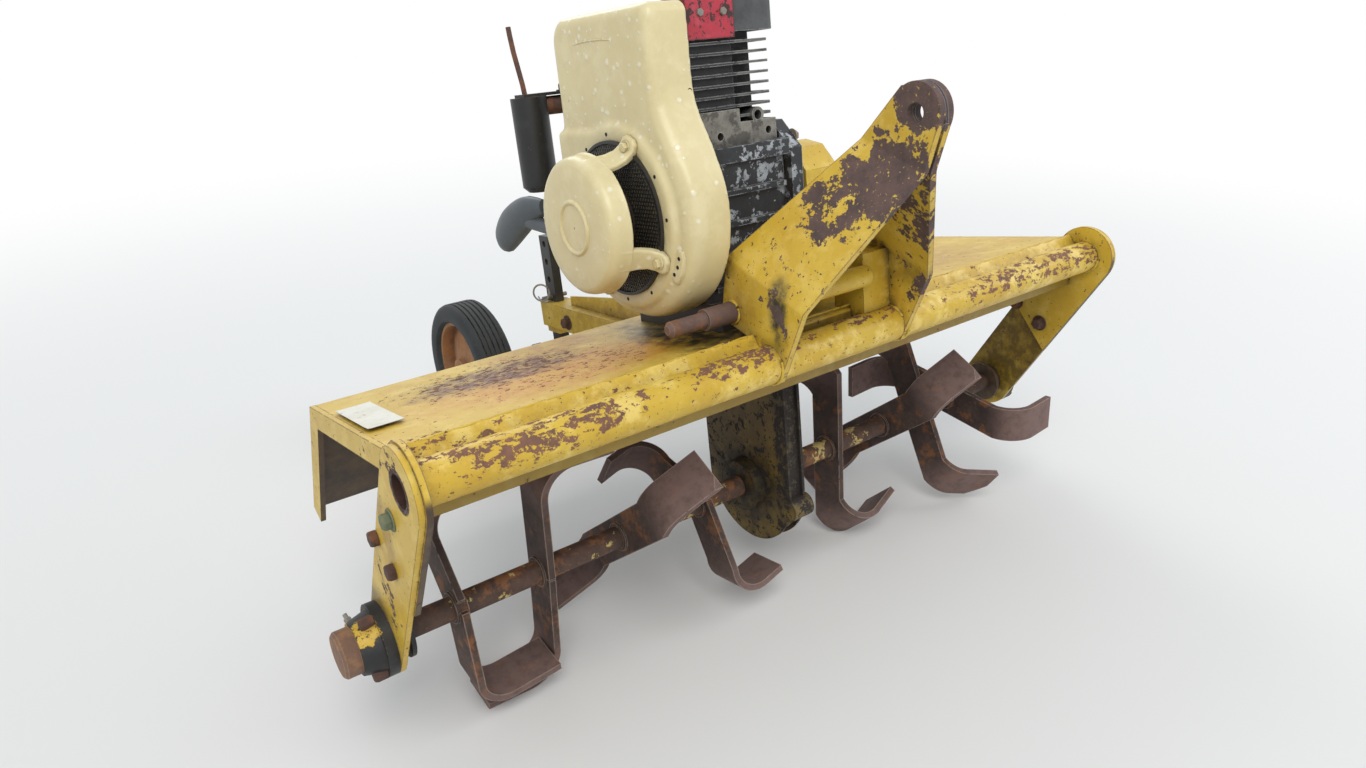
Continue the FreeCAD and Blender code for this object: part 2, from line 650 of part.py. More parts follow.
sweep.build()
sweep.makeSolid()
parts["exhaust_pipe"] = sweep.shape().cut(can)

# Belt guard on the drive side
guard_rear = guard_front + guard_length
guard_outline = [(guard_front, 0), (guard_front, guard_height - 32), (guard_front + 24, guard_height - 6),
                 (guard_front + 54, guard_height), (guard_rear - 20, guard_height - 40),
                 (guard_rear, guard_height - 160), (guard_rear, 0)]
parts["belt_guard"] = plate_x(guard_outline, guard_left, guard_width).common(above_hood)

# Tail beam behind the hood, its gusset, and the socket of the depth post
post_y0, post_y1 = post_behind_tube - post_width / 2, post_behind_tube + post_width / 2
post_x0, post_x1 = tail_centre - post_depth / 2, tail_centre + post_depth / 2
socket_y0, socket_y1 = post_y0 - socket_wall, post_y1 + socket_wall
tail_x0, tail_x1 = tail_centre - tail_width / 2, tail_centre + tail_width / 2
tail_z = tail_width - tail_bottom
before_flap = plate_x([(hood_rear_edge, BIG), (hood_rear_edge, hood_rear_height), (flap_edge_y, flap_edge_z),
                       (flap_edge_y, -BIG), (-BIG, -BIG), (-BIG, BIG)], -half_length, tube_length)
beam = box(tail_x0, tail_x1, rotor_y, post_behind_tube + tail_behind_post, -tail_bottom, tail_z)
gusset = plate_x([(hood_rear_edge, tail_z), (hood_rear_edge, hood_rear_height),
                  (gusset_end, tail_z + gusset_end_height), (gusset_end, tail_z)],
                 tail_centre - gusset_thickness / 2, gusset_thickness)
socket = box(post_x0 - socket_wall, post_x1 + socket_wall, socket_y0, socket_y1, -socket_bottom, -socket_top)
socket_hole = box(post_x0 - socket_wall, post_x1 + socket_wall, socket_y0, socket_y1, -BIG, BIG)
bore = box(post_x0 - post_clearance, post_x1 + post_clearance, post_y0 - post_clearance, post_y1 + post_clearance,
           -BIG, BIG)
parts["post_socket"] = socket.cut(bore)
parts["tail_beam"] = beam.fuse(gusset).cut([before_flap, socket_hole]).removeSplitter()

# The tine bars and the wheel stand on one floor once the machine is leaned back
tips = []
for name in ("tines_left", "tines_right"):
    for bar in parts[name].Solids:
        leaned = bar.copy()
        leaned.rotate(V(0, 0, 0), AXIS_X, -lean_back)
        tips.append((round(leaned.optimalBoundingBox(False, False).ZMin, 2), name))
floor = min(tips)[0]
axle_y = post_behind_tube + axle_behind_post
axle_z = (floor + wheel_radius + axle_y * sin_lean) / cos_lean

# Depth post with its foot, the wheel axle and a collar
post = box(post_x0, post_x1, post_y0, post_y1, axle_z - post_below_axle, post_top)
foot = slot_link(post_x0, post_depth, post_behind_tube, axle_z, axle_y, axle_z, foot_width)
hub_x0, hub_x1 = wheel_centre - wheel_hub_width / 2, wheel_centre + wheel_hub_width / 2
axle = rod(hub_x0 - axle_end, post_x0, axle_y, axle_z, axle_diameter / 2)
collar = rod(hub_x1 + collar_gap, hub_x1 + collar_gap + collar_width, axle_y, axle_z, collar_radius)
post_holes = []
hole_z = axle_z + post_hole_first
while hole_z < post_top - post_hole:
    post_holes.append(rod(post_x0, post_x1, post_behind_tube, hole_z, post_hole / 2))
    hole_z += post_hole_pitch
parts["depth_post"] = post.fuse([foot, axle, collar]).cut(post_holes).removeSplitter()

# Gauge wheel: a tyre with bevelled shoulders on a dished rim
half_tyre, half_bead = tyre_width / 2, tyre_bead_width / 2
bead_radius = wheel_radius - tyre_section
shoulder = wheel_radius - tyre_shoulder
tyre = turned([(wheel_centre + s * x, r) for s, x, r in (
    (-1, half_bead, bead_radius), (-1, half_tyre, bead_radius + tyre_shoulder), (-1, half_tyre, shoulder),
    (-1, half_tyre - tyre_shoulder, wheel_radius), (1, half_tyre - tyre_shoulder, wheel_radius),
    (1, half_tyre, shoulder), (1, half_tyre, bead_radius + tyre_shoulder), (1, half_bead, bead_radius))],
    axle_y, axle_z)
parts["tyre"] = tyre
web_radius = bead_radius - rim_thickness
parts["wheel_rim"] = turned([(wheel_centre + x, r) for x, r in (
    (-half_bead, bead_radius), (half_bead, bead_radius), (half_bead, web_radius), (rim_web, web_radius),
    (rim_web - rim_dish, wheel_hub_radius), (wheel_hub_width / 2, wheel_hub_radius),
    (wheel_hub_width / 2, axle_diameter / 2 + shaft_clearance),
    (-wheel_hub_width / 2, axle_diameter / 2 + shaft_clearance), (-wheel_hub_width / 2, wheel_hub_radius),
    (-rim_dish, wheel_hub_radius), (0, web_radius), (-half_bead, web_radius))], axle_y, axle_z)

# Lean back, stand on the floor and put the origin under the middle
whole = Part.makeCompound(list(parts.values()))
whole.rotate(V(0, 0, 0), AXIS_X, -lean_back)
bounds = whole.optimalBoundingBox(False, False)
shift = V(-(bounds.XMin + bounds.XMax) / 2, -(bounds.YMin + bounds.YMax) / 2, -bounds.ZMin)
os.makedirs("parts", exist_ok=True)
for name, shape in parts.items():
    shape.rotate(V(0, 0, 0), AXIS_X, -lean_back)
    shape.translate(shift)
    shape.exportStep("parts/" + name + ".step")
print("origin shift", shift, "floor", floor, "axle z", axle_z)
print("lowest point of each tine bar", tips)
print("size", bounds.XLength, bounds.YLength, bounds.ZLength, "nodes", len(parts))
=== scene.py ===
# %% [markdown]
# # An old rotary tiller for a garden tractor
# A yellow hood over a rotor, a mast with two hitch pins and a small engine on top, made for a
# three-point hitch.

# %% Load the solids and keep their box
import bpy
import bmesh
import math
import random
from mathutils import Matrix, Vector


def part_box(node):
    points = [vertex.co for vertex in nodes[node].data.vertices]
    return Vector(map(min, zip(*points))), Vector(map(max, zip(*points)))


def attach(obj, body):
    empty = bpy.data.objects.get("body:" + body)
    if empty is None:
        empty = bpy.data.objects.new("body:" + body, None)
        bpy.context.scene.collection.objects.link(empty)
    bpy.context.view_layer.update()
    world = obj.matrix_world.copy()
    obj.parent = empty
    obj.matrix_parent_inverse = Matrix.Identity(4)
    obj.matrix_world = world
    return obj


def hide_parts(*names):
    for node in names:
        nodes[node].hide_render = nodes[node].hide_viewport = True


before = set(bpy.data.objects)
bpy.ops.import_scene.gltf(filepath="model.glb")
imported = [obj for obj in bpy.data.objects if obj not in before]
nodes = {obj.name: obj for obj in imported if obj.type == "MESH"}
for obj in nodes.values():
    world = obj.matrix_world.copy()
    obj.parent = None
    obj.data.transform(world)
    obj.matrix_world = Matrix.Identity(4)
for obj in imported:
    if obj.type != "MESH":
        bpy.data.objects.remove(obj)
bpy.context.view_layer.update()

# %% [markdown]
# ## Measuring from the front tube
# The machine leans back eight degrees, so a bolt's place is awkward to write in the frame's own
# axes. All places here are in millimetres from the middle of the front tube, as if the machine
# stood level, and one matrix leans them back.

# %% The leaning matrix
LEAN = math.radians(8)
tube_low, tube_high = (Vector(corner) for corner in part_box("main_tube"))
tube_middle = (tube_low + tube_high) / 2
leaned = Matrix.Translation(tube_middle) @ Matrix.Rotation(-LEAN, 4, "X")
from_level = leaned @ Matrix.Scale(0.001, 4)
print("front tube:", [round(v, 4) for v in tube_middle])

# %% [markdown]
# ## Camera
# The picture was taken close to the machine with a wide lens, so the near end looks large. A
# camera could be aimed by hand, but here its place and its three axes come from the straight
# edges of the tube, the mast and the arms.

# %% Camera
scene = bpy.context.scene
camera_data = bpy.data.cameras.new("camera")
camera_data.sensor_width = 36
camera_data.lens = 24.05
camera_data.clip_start = 0.02
camera = bpy.data.objects.new("camera", camera_data)
scene.collection.objects.link(camera)
camera_right = Vector((0.7988, -0.6014, -0.0135))
camera_up = Vector((0.2686, 0.3365, 0.9026))
camera_back = camera_right.cross(camera_up).normalized()
camera_up = camera_back.cross(camera_right).normalized()
camera_turn = Matrix((camera_right.normalized(), camera_up, camera_back)).transposed().to_4x4()
camera_place = tube_middle + Vector((-0.7370, -0.6891, 0.4210))
camera.matrix_world = Matrix.Translation(camera_place) @ camera_turn
scene.camera = camera
scene.view_settings.view_transform = "Standard"
print("camera lens", camera_data.lens, "at", [round(v, 3) for v in camera_place])

# %% [markdown]
# ## Helpers for shader nodes
# A material is a tree of nodes, and most of its code only makes nodes and joins them. One helper
# makes a node and fills its inputs: an input that is given another node's output is linked, and
# any other value is written on the socket. Colours are written from 0 to 255, as on a paint
# chart, and turned into the linear values that the renderer wants.

# %% Helpers for nodes and colours
def colour(red, green, blue):
    """A colour from 0 to 255, as linear light."""
    linear = []
    for value in (red, green, blue):
        share = value / 255
        linear.append(share / 12.92 if share <= 0.04045 else ((share + 0.055) / 1.055) ** 2.4)
    return (*linear, 1.0)


def fill(tree, socket, value):
    if isinstance(value, bpy.types.NodeSocket):
        tree.links.new(value, socket)
    else:
        socket.default_value = value


def add(tree, kind, inputs=(), **settings):
    """A new node. inputs pairs a socket's name or number with a value or another node's output."""
    node = tree.nodes.new("ShaderNode" + kind)
    for setting, value in settings.items():
        setattr(node, setting, value)
    for socket, value in dict(inputs).items():
        fill(tree, node.inputs[socket], value)
    return node


def math_node(tree, operation, first, second=0.0):
    return add(tree, "Math", {0: first, 1: second}, operation=operation).outputs[0]


def times(tree, first, second):
    return math_node(tree, "MULTIPLY", first, second)


def most(tree, first, second):
    return math_node(tree, "MAXIMUM", first, second)


def vector_node(tree, operation, first, second=(0.0, 0.0, 0.0), output=0):
    return add(tree, "VectorMath", {0: first, 1: second}, operation=operation).outputs[output]


def over(tree, mask, below, above):
    """The colour above, laid on the colour below where the mask is white."""
    return add(tree, "Mix", {0: mask, 6: below, 7: above}, data_type="RGBA").outputs[2]


def between(tree, mask, low, high):
    """A value that goes from low to high with the mask."""
    return add(tree, "MapRange", {0: mask, 1: 0.0, 2: 1.0, 3: low, 4: high}).outputs[0]


def smooth_step(tree, value, low, high):
    steps = {0: value, 1: low, 2: high}
    return add(tree, "MapRange", steps, interpolation_type="SMOOTHSTEP").outputs[0]


def noise(tree, place, scale, detail, rough=0.5):
    """Fractal noise around a half, finer with more detail."""
    values = {"Vector": place, "Scale": scale, "Detail": detail, "Roughness": rough}
    return add(tree, "TexNoise", values).outputs[0]


def seen(tree):
    """White for what the camera sees, straight or by way of a mirror or glass."""
    path = add(tree, "LightPath").outputs
    mirrored = most(tree, path["Is Camera Ray"], path["Is Glossy Ray"])
    return most(tree, mirrored, path["Is Transmission Ray"])


print("yellow in linear light:", [round(v, 3) for v in colour(205, 170, 65)])

# %% [markdown]
# ## Floor and light
# A pale floor and large soft lamps show the form without hard shadows, like the grey sky of the
# picture. The sky that is seen and mirrored is white, but it lights the machine only gently, so
# that each colour renders about as it is written. Far from the machine the lamps no longer
# reach the floor, and there it fades to the white of the sky.

# %% Floor
floor_mesh = bpy.data.meshes.new("floor")
floor_mesh.from_pydata([(-40, -40, 0), (40, -40, 0), (40, 40, 0), (-40, 40, 0)], [], [(0, 1, 2, 3)])
floor = bpy.data.objects.new("floor", floor_mesh)
scene.collection.objects.link(floor)
floor_material = bpy.data.materials.new("pale_floor")
floor_material.use_nodes = True
floor_mesh.materials.append(floor_material)
tree = floor_material.node_tree
shader = tree.nodes["Principled BSDF"]
shader.inputs["Base Color"].default_value = (0.80, 0.79, 0.77, 1)
shader.inputs["Roughness"].default_value = 0.9
far = vector_node(tree, "LENGTH", add(tree, "TexCoord").outputs["Object"], output="Value")
white = add(tree, "Emission", {"Color": (1.0, 1.0, 1.0, 1)}).outputs[0]
faded = times(tree, smooth_step(tree, far, 0.9, 3.2), seen(tree))
mixed = add(tree, "MixShader", {0: faded, 1: shader.outputs[0], 2: white}).outputs[0]
tree.links.new(mixed, tree.nodes["Material Output"].inputs["Surface"])
print("floor size", [round(v) for v in floor.dimensions])

# %% World
world = bpy.data.worlds.new("soft_sky")
scene.world = world
world.use_nodes = True
sky = world.node_tree
sky_light = sky.nodes["Background"]
sky_light.inputs["Color"].default_value = (0.88, 0.94, 1.0, 1)
sky_light.inputs["Strength"].default_value = 0.62
white = add(sky, "Background", {"Color": (1.0, 1.0, 1.0, 1)}).outputs[0]
mixed = add(sky, "MixShader", {0: seen(sky), 1: sky_light.outputs[0], 2: white}).outputs[0]
sky.links.new(mixed, sky.nodes["World Output"].inputs["Surface"])
print("world", world.name)

# %% Lamps
# name, place, size, power, colour
LAMPS = [
    ("key_lamp", (-1.6, -2.4, 3.4), 2.6, 78, (1.0, 0.98, 0.95)),
    ("side_lamp", (2.6, -1.4, 2.2), 2.0, 24, (0.93, 0.96, 1.0)),
    ("back_lamp", (0.6, 3.0, 2.8), 2.4, 40, (0.95, 0.98, 1.0)),
]
AIM = Vector((0, 0, 0.35))
for name, place, size, power, lamp_colour in LAMPS:
    lamp_data = bpy.data.lights.new(name, "AREA")
    lamp_data.shape = "DISK"
    lamp_data.size = size
    lamp_data.energy = power
    lamp_data.color = lamp_colour
    lamp = bpy.data.objects.new(name, lamp_data)
    lamp.location = place
    lamp.rotation_euler = (AIM - Vector(place)).to_track_quat("-Z", "Y").to_euler()
    scene.collection.objects.link(lamp)
print("lamps", len(LAMPS))

# %% [markdown]
# ## Effects that many finishes share
# Chips, worn edges, painted shade and dirt in corners, stains and drops of rain turn up on almost
# every part. As node groups they are built once, and each material places them with its own values.

# %% The helper that makes a group
def make_group(name, inputs, outputs=("Mask",)):
    """A node group with number inputs, or colour and vector ones where the value is a tuple."""
    group = bpy.data.node_groups.new(name, "ShaderNodeTree")
    for socket_name, value in inputs.items():
        kind = "NodeSocketFloat"
        if isinstance(value, tuple):
            kind = "NodeSocketColor" if len(value) == 4 else "NodeSocketVector"
        socket = group.interface.new_socket(name=socket_name, in_out="INPUT", socket_type=kind)
        socket.default_value = value
    kinds = {"Colour": "NodeSocketColor", "Place": "NodeSocketVector"}
    for socket_name in outputs:
        kind = kinds.get(socket_name, "NodeSocketFloat")
        group.interface.new_socket(name=socket_name, in_out="OUTPUT", socket_type=kind)
    print("group", name)
    given = group.nodes.new("NodeGroupInput").outputs
    return group, given, group.nodes.new("NodeGroupOutput").inputs


def use(tree, group, output=0, **values):
    """Places a group in a tree, with its inputs."""
    placed = tree.nodes.new("ShaderNodeGroup")
    placed.node_tree = group
    for socket_name, value in values.items():
        fill(tree, placed.inputs[socket_name], value)
    return placed.outputs[output]


# %% [markdown]
# The first group gives a point's place on the level machine, in metres from the middle of the
# tube. A stain can then be put at a measured place. It stays on its part when that moves, because
# the place comes from the object's own coordinates.

# %% Group: level place
group, given, result = make_group("level_place", {}, ("Place",))
level_place = group
own = add(group, "TexCoord").outputs["Object"]
from_tube = vector_node(group, "SUBTRACT", own, tuple(tube_middle))
level = add(group, "VectorRotate", {"Vector": from_tube, "Angle": LEAN}, rotation_type="X_AXIS")
group.links.new(level.outputs[0], result["Place"])

# %% [markdown]
# Paint comes off in ragged islands of many sizes. A fractal noise, cut at a level, gives just
# that: a high level leaves a few specks and a low one leaves most of the surface bare. Stretch
# squeezes the pattern along an axis, which turns the islands into scratches or streaks.

# %% Group: patches
group, given, result = make_group("patches", {
    "Scale": 60.0, "Level": 0.6, "Edge": 0.015, "Seed": 0.0, "Stretch": (1.0, 1.0, 1.0)})
patches = group
place = vector_node(group, "MULTIPLY", use(group, level_place), given["Stretch"])
place = vector_node(group, "ADD", place, given["Seed"])
clouds = noise(group, place, given["Scale"], 6.0, 0.67)
low = math_node(group, "SUBTRACT", given["Level"], given["Edge"])
high = math_node(group, "ADD", given["Level"], given["Edge"])
group.links.new(smooth_step(group, clouds, low, high), result["Mask"])

# %% [markdown]
# A stain or a bare place has a middle and a size. The spot group measures how far a point is from
# the middle, in sizes, and noise frays the rim, so that no round outline shows.

# %% Group: spot
group, given, result = make_group("spot", {
    "Middle": (0.0, 0.0, 0.0), "Size": (0.05, 0.05, 0.05), "Fray": 0.8, "Soft": 0.25})
spot = group
place = use(group, level_place)
away = vector_node(group, "SUBTRACT", place, given["Middle"])
away = vector_node(group, "DIVIDE", away, given["Size"])
away = vector_node(group, "LENGTH", away, output="Value")
fray = math_node(group, "SUBTRACT", noise(group, place, 45.0, 5.0, 0.65), 0.5)
away = math_node(group, "ADD", away, times(group, fray, given["Fray"]))
low = math_node(group, "SUBTRACT", 1.0, given["Soft"])
high = math_node(group, "ADD", 1.0, given["Soft"])
inside = math_node(group, "SUBTRACT", 1.0, smooth_step(group, away, low, high))
group.links.new(inside, result["Mask"])

# %% [markdown]
# Paint wears off at edges first. The Bevel node gives the normal that a rounded edge would have;
# where it differs from the true normal there is an edge. Noise breaks the line.

# %% Group: worn edges
group, given, result = make_group("worn_edges", {"Width": 0.0015, "Level": 0.5, "Scale": 80.0})
worn_edges = group
rounded = add(group, "Bevel", {"Radius": given["Width"]}, samples=4).outputs[0]
true_normal = add(group, "NewGeometry").outputs["Normal"]
alike = vector_node(group, "DOT_PRODUCT", rounded, true_normal, "Value")
edge = add(group, "MapRange", {0: alike, 1: 0.985, 2: 0.90, 3: 0.0, 4: 1.0}).outputs[0]
breaks = use(group, patches, Scale=given["Scale"], Level=given["Level"], Edge=0.03)
group.links.new(times(group, edge, breaks), result["Mask"])

# %% [markdown]
# Dirt and grease stay where a cloth can't reach, and shade falls in the same corners. Ambient
# occlusion finds such corners: it is dark where near surfaces close a point in. Turned over and
# broken by noise, it becomes a mask for painted corner shade mixed with dirt.

# %% Group: painted corner shade and dirt
group, given, result = make_group("corner_shade_and_dirt", {"Reach": 0.02, "Amount": 1.0, "Scale": 60.0})
corner_shade_and_dirt = group
open_air = add(group, "AmbientOcclusion", {"Distance": given["Reach"]}, samples=6).outputs["AO"]
corner = add(group, "MapRange", {0: open_air, 1: 0.9, 2: 0.35, 3: 0.0, 4: 1.0}).outputs[0]
breaks = use(group, patches, Scale=given["Scale"], Level=0.44, Edge=0.12)
group.links.new(times(group, times(group, corner, breaks), given["Amount"]), result["Mask"])

# %% [markdown]
# No real surface has one even colour. The mottle group drifts between two colours in soft clouds.

# %% Group: mottle
MIDDLE_GREY = (0.5, 0.5, 0.5, 1.0)
group, given, result = make_group("mottle", {
    "One": MIDDLE_GREY, "Other": MIDDLE_GREY, "Scale": 12.0, "Seed": 0.0}, ("Colour",))
mottle = group
place = vector_node(group, "ADD", use(group, level_place), given["Seed"])
clouds = noise(group, place, given["Scale"], 8.0, 0.7)
share = add(group, "MapRange", {0: clouds, 1: 0.36, 2: 0.64}).outputs[0]
group.links.new(over(group, share, given["One"], given["Other"]), result["Colour"])

# %% [markdown]
# Fine relief makes a surface catch the light: pits in rust, orange peel in paint, sand grain in a
# casting. One group gives a height from coarse and fine noise, for a Bump node in the material.

# %% Group: grain
group, given, result = make_group("grain", {"Scale": 300.0, "Coarse": 0.5}, ("Height",))
grain = group
place = use(group, level_place)
fine = noise(group, place, given["Scale"], 4.0)
wide = noise(group, place, times(group, given["Scale"], 0.14), 3.0)
height = add(group, "Mix", {0: given["Coarse"], 2: fine, 3: wide})
group.links.new(height.outputs[0], result["Height"])

# %% [markdown]
# It has rained, and drops stand on the cream paint. A Voronoi pattern gives scattered centres, and
# each cell's own random colour says whether it holds a drop and how large it is. The height is a
# dome, and the mask makes the drop smooth and glossy.

# %% Group: rain drops
group, given, result = make_group("rain_drops", {"Scale": 95.0, "Share": 0.35}, ("Mask", "Height"))
rain_drops = group
place = use(group, level_place)
cells = add(group, "TexVoronoi", {"Vector": place, "Scale": given["Scale"]}).outputs
chance = add(group, "SeparateColor", {0: cells["Color"]}).outputs
wet = math_node(group, "LESS_THAN", chance[0], given["Share"])
reach = math_node(group, "DIVIDE", cells["Distance"], between(group, chance[1], 0.13, 0.36))
dome = math_node(group, "SUBTRACT", 1.0, times(group, reach, reach))
dome = times(group, most(group, dome, 0.0), wet)
group.links.new(math_node(group, "GREATER_THAN", dome, 0.02), result["Mask"])
group.links.new(math_node(group, "SQRT", dome), result["Height"])

# %% [markdown]
# ## Old paint
# The yellow, cream, black and red coats age in the same way: the coat drifts in colour, fades in
# scuffs, shows rust in specks, goes bare in places and along edges, and in corners takes painted
# shade mixed with dirt.
# One maker builds such a material from the shared groups, and takes each part's own stains and
# bare places from measured lists, so that no two parts look stamped from one pattern. Five
# colours come first: the coat, its deeper drift, its scuffs, and two of the metal under it.

# %% The maker of old paint
def new_material(name, roughness=0.5):
    material = bpy.data.materials.new(name)
    material.use_nodes = True
    tree = material.node_tree
    shader = tree.nodes["Principled BSDF"]
    shader.inputs["Roughness"].default_value = roughness
    shader.inputs["Metallic"].default_value = 0.0
    return material, tree, shader


def finish(tree, shader, surface, rough, height, strength, distance=0.0006):
    """Joins colour, roughness and relief to the shader."""
    tree.links.new(surface, shader.inputs["Base Color"])
    tree.links.new(rough, shader.inputs["Roughness"])
    bump = add(tree, "Bump", {"Strength": strength, "Distance": distance, "Height": height})
    tree.links.new(bump.outputs[0], shader.inputs["Normal"])


def lay(tree, surface, mask, above, strength=None):
    """Lays a colour on the surface where the mask is white, or lets it through by the strength."""
    if strength is not None:
        mask = times(tree, mask, strength)
    return over(tree, mask, surface, colour(*above))


def mottled(tree, one, other, scale, seed=0.0):
    return use(tree, mottle, One=colour(*one), Other=colour(*other), Scale=scale, Seed=seed)


def placed_spot(tree, middle, size, soft, fray):
    """A spot with its middle and size in millimetres."""
    middle, size = (tuple(value / 1000 for value in values) for values in (middle, size))
    return use(tree, spot, Middle=middle, Size=size, Soft=soft, Fray=fray)


def from_axis(tree, y, z):
    """Distance in metres from a line along X."""
    off = vector_node(tree, "SUBTRACT", use(tree, level_place), (0.0, y / 1000, z / 1000))
    flat = vector_node(tree, "MULTIPLY", off, (0.0, 1.0, 1.0))
    return vector_node(tree, "LENGTH", flat, output="Value")


def old_paint(name, coat, deep, pale, bare, bare_other, speck_level=0.655, speck_scale=120.0,
              scuff=0.35, edges=(0.46, 0.0014), shine=0.42, stains=(), bare_places=(), inside=None,
              dirt=(52, 40, 28), dirt_amount=0.8, seed=0.0, drops=0.0, bare_rough=0.85, streaks=0.0,
              grain_run=(1.0, 1.0, 1.0), island_scale=70.0, fleck_level=0.585, bore=0.0):
    material, tree, shader = new_material(name)
    paint = mottled(tree, coat, deep, 9.0, seed)
    scuffs = use(tree, patches, Scale=30.0, Level=0.56, Edge=0.09, Seed=seed + 3)
    paint = lay(tree, paint, scuffs, pale, scuff)
    if streaks:
        runs = use(tree, patches, Scale=26.0, Level=0.58, Edge=0.06, Seed=seed + 9,
                   Stretch=(1.0, 1.0, 0.12))
        paint = lay(tree, paint, runs, bare, streaks)
    # faces that look down and forward take a darker brown
    if inside:
        normal = add(tree, "TexCoord").outputs["Normal"]
        under = vector_node(tree, "DOT_PRODUCT", normal, (0.0, -0.6, -0.8), "Value")
        downward_tone = mottled(tree, inside, (60, 46, 34), 30.0)
        paint = over(tree, smooth_step(tree, under, 0.35, 0.6), paint, downward_tone)
    for middle, size, stain, strength in stains:
        cloudy = use(tree, patches, Scale=55.0, Level=0.47, Edge=0.12, Seed=seed + 5)
        cloudy = times(tree, between(tree, cloudy, 0.45, 1.0), strength)
        paint = lay(tree, paint, placed_spot(tree, middle, size, 0.45, 1.3), stain, cloudy)
    chips = use(tree, patches, Scale=speck_scale, Level=speck_level, Edge=0.012, Seed=seed + 1)
    small = use(tree, patches, Scale=speck_scale * 2.3, Level=speck_level + 0.01, Edge=0.015,
                Seed=seed + 2)
    chips = most(tree, chips, small)
    for middle, size, level in bare_places:
        thinning = between(tree, placed_spot(tree, middle, size, 0.55, 0.7), 0.74, level)
        islands = use(tree, patches, Scale=island_scale, Level=thinning, Edge=0.010, Seed=seed + 7,
                      Stretch=grain_run)
        flecks = use(tree, patches, Scale=190.0, Level=fleck_level, Edge=0.02, Seed=seed + 6)
        chips = most(tree, chips, times(tree, islands, between(tree, flecks, 1.0, 0.0)))
    chips = most(tree, chips, use(tree, worn_edges, Level=edges[0], Width=edges[1]))
    surface = over(tree, chips, paint, mottled(tree, bare, bare_other, 55.0, seed))
    if bore:
        within = math_node(tree, "LESS_THAN", from_axis(tree, 0, 0), bore / 1000)
        surface = over(tree, within, surface, mottled(tree, (74, 46, 36), (44, 30, 26), 60.0))
    # painted shade mixed with dirt: ambient occlusion lays the dirt colour in corners and creases
    shaded_corners = use(tree, corner_shade_and_dirt, Reach=0.018, Amount=dirt_amount)
    surface = lay(tree, surface, shaded_corners, dirt)
    rough = between(tree, chips, shine, bare_rough)
    rough = math_node(tree, "ADD", rough, times(tree, shaded_corners, 0.25))
    height = times(tree, use(tree, grain, Scale=260.0, Coarse=0.6), 0.45)
    height = math_node(tree, "SUBTRACT", height, chips)
    if drops:
        wet = use(tree, rain_drops, Share=drops)
        dome = use(tree, rain_drops, 1, Share=drops)
        rough = times(tree, rough, between(tree, wet, 1.0, 0.15))
        # painted highlight: each drop is lightened towards near-white at its middle
        surface = lay(tree, surface, dome, (255, 252, 238), 0.42)
        height = math_node(tree, "ADD", height, times(tree, dome, 1.6))
    finish(tree, shader, surface, rough, height, 0.45)
    return material


def yellow_paint(name, bare=(100, 76, 68), bare_other=(80, 64, 60), **more):
    coat, deep, pale = (213, 180, 62), (199, 160, 46), (236, 208, 118)
    return old_paint(name, coat, deep, pale, bare, bare_other, **more)


print("maker of old paint ready")

# %% [markdown]
# ## Yellow parts
# Most of the machine is one yellow, but each part has its own history. The tube is rubbed bare
# where people took hold of it, the mast's upper half has lost its paint to a purple-brown, the
# hood carries rust stains and a near-black strip beside the engine, and the chain case is olive
# with soil. A stain is a middle, a size, a colour and a strength, and a bare place is a middle, a
# size and a noise level: the lower the level, the barer it is.

# %% Yellow paints
yellow_tube = yellow_paint(
    "yellow_tube", (138, 96, 74), (108, 78, 66), speck_level=0.635, speck_scale=110.0, scuff=0.75,
    seed=1.0, grain_run=(0.55, 1.0, 1.0), island_scale=120.0, bore=21.6, bare_places=[
        ((-385, -14, 14), (120, 22, 22), 0.48), ((-140, -8, 20), (110, 22, 18), 0.49),
        ((390, -14, 12), (220, 26, 26), 0.50), ((-470, 6, 20), (70, 22, 16), 0.52),
        ((60, -4, 20), (120, 18, 12), 0.53), ((-533, 0, 0), (16, 44, 44), 0.47),
        ((533, 0, 0), (16, 44, 44), 0.47)])
yellow_hood = yellow_paint(
    "yellow_hood", (116, 74, 52), (88, 56, 44),
    island_scale=150.0, speck_level=0.66, seed=2.0, inside=(96, 74, 44), dirt_amount=0.45,
    grain_run=(0.7, 1.0, 1.0), stains=[
        ((-290, 130, 20), (150, 70, 30), (196, 124, 40), 0.75),
        ((-340, 200, 16), (95, 46, 40), (92, 54, 42), 0.95),
        ((-250, 262, 8), (80, 40, 30), (150, 92, 50), 0.6),
        ((-118, 120, 22), (52, 150, 26), (30, 27, 24), 1.0),
        ((-40, 60, 26), (110, 30, 20), (70, 56, 32), 0.6),
        ((300, 170, 16), (140, 110, 30), (150, 96, 48), 0.5)],
    bare_places=[((-340, 205, 16), (130, 80, 30), 0.53), ((-280, 130, 20), (150, 70, 30), 0.575),
                 ((-500, 30, 28), (60, 26, 18), 0.52)])
yellow_arm = yellow_paint(
    "yellow_arm", speck_scale=90.0, seed=4.0, edges=(0.43, 0.0014), streaks=0.25, stains=[
        ((-533, 72, -60), (12, 14, 40), (112, 70, 40), 0.5),
        ((-533, 171, -190), (12, 40, 22), (74, 62, 40), 0.6),
        ((525, 120, -160), (16, 90, 90), (104, 84, 40), 0.9)],
    bare_places=[((-533, 20, 22), (14, 34, 28), 0.51), ((-533, 118, -160), (14, 24, 50), 0.53)])
yellow_end = yellow_paint(
    "yellow_end", speck_level=0.645, speck_scale=100.0, seed=6.0, edges=(0.42, 0.002),
    inside=(92, 72, 44), stains=[((-520, 130, -150), (20, 60, 60), (96, 80, 44), 0.7)])
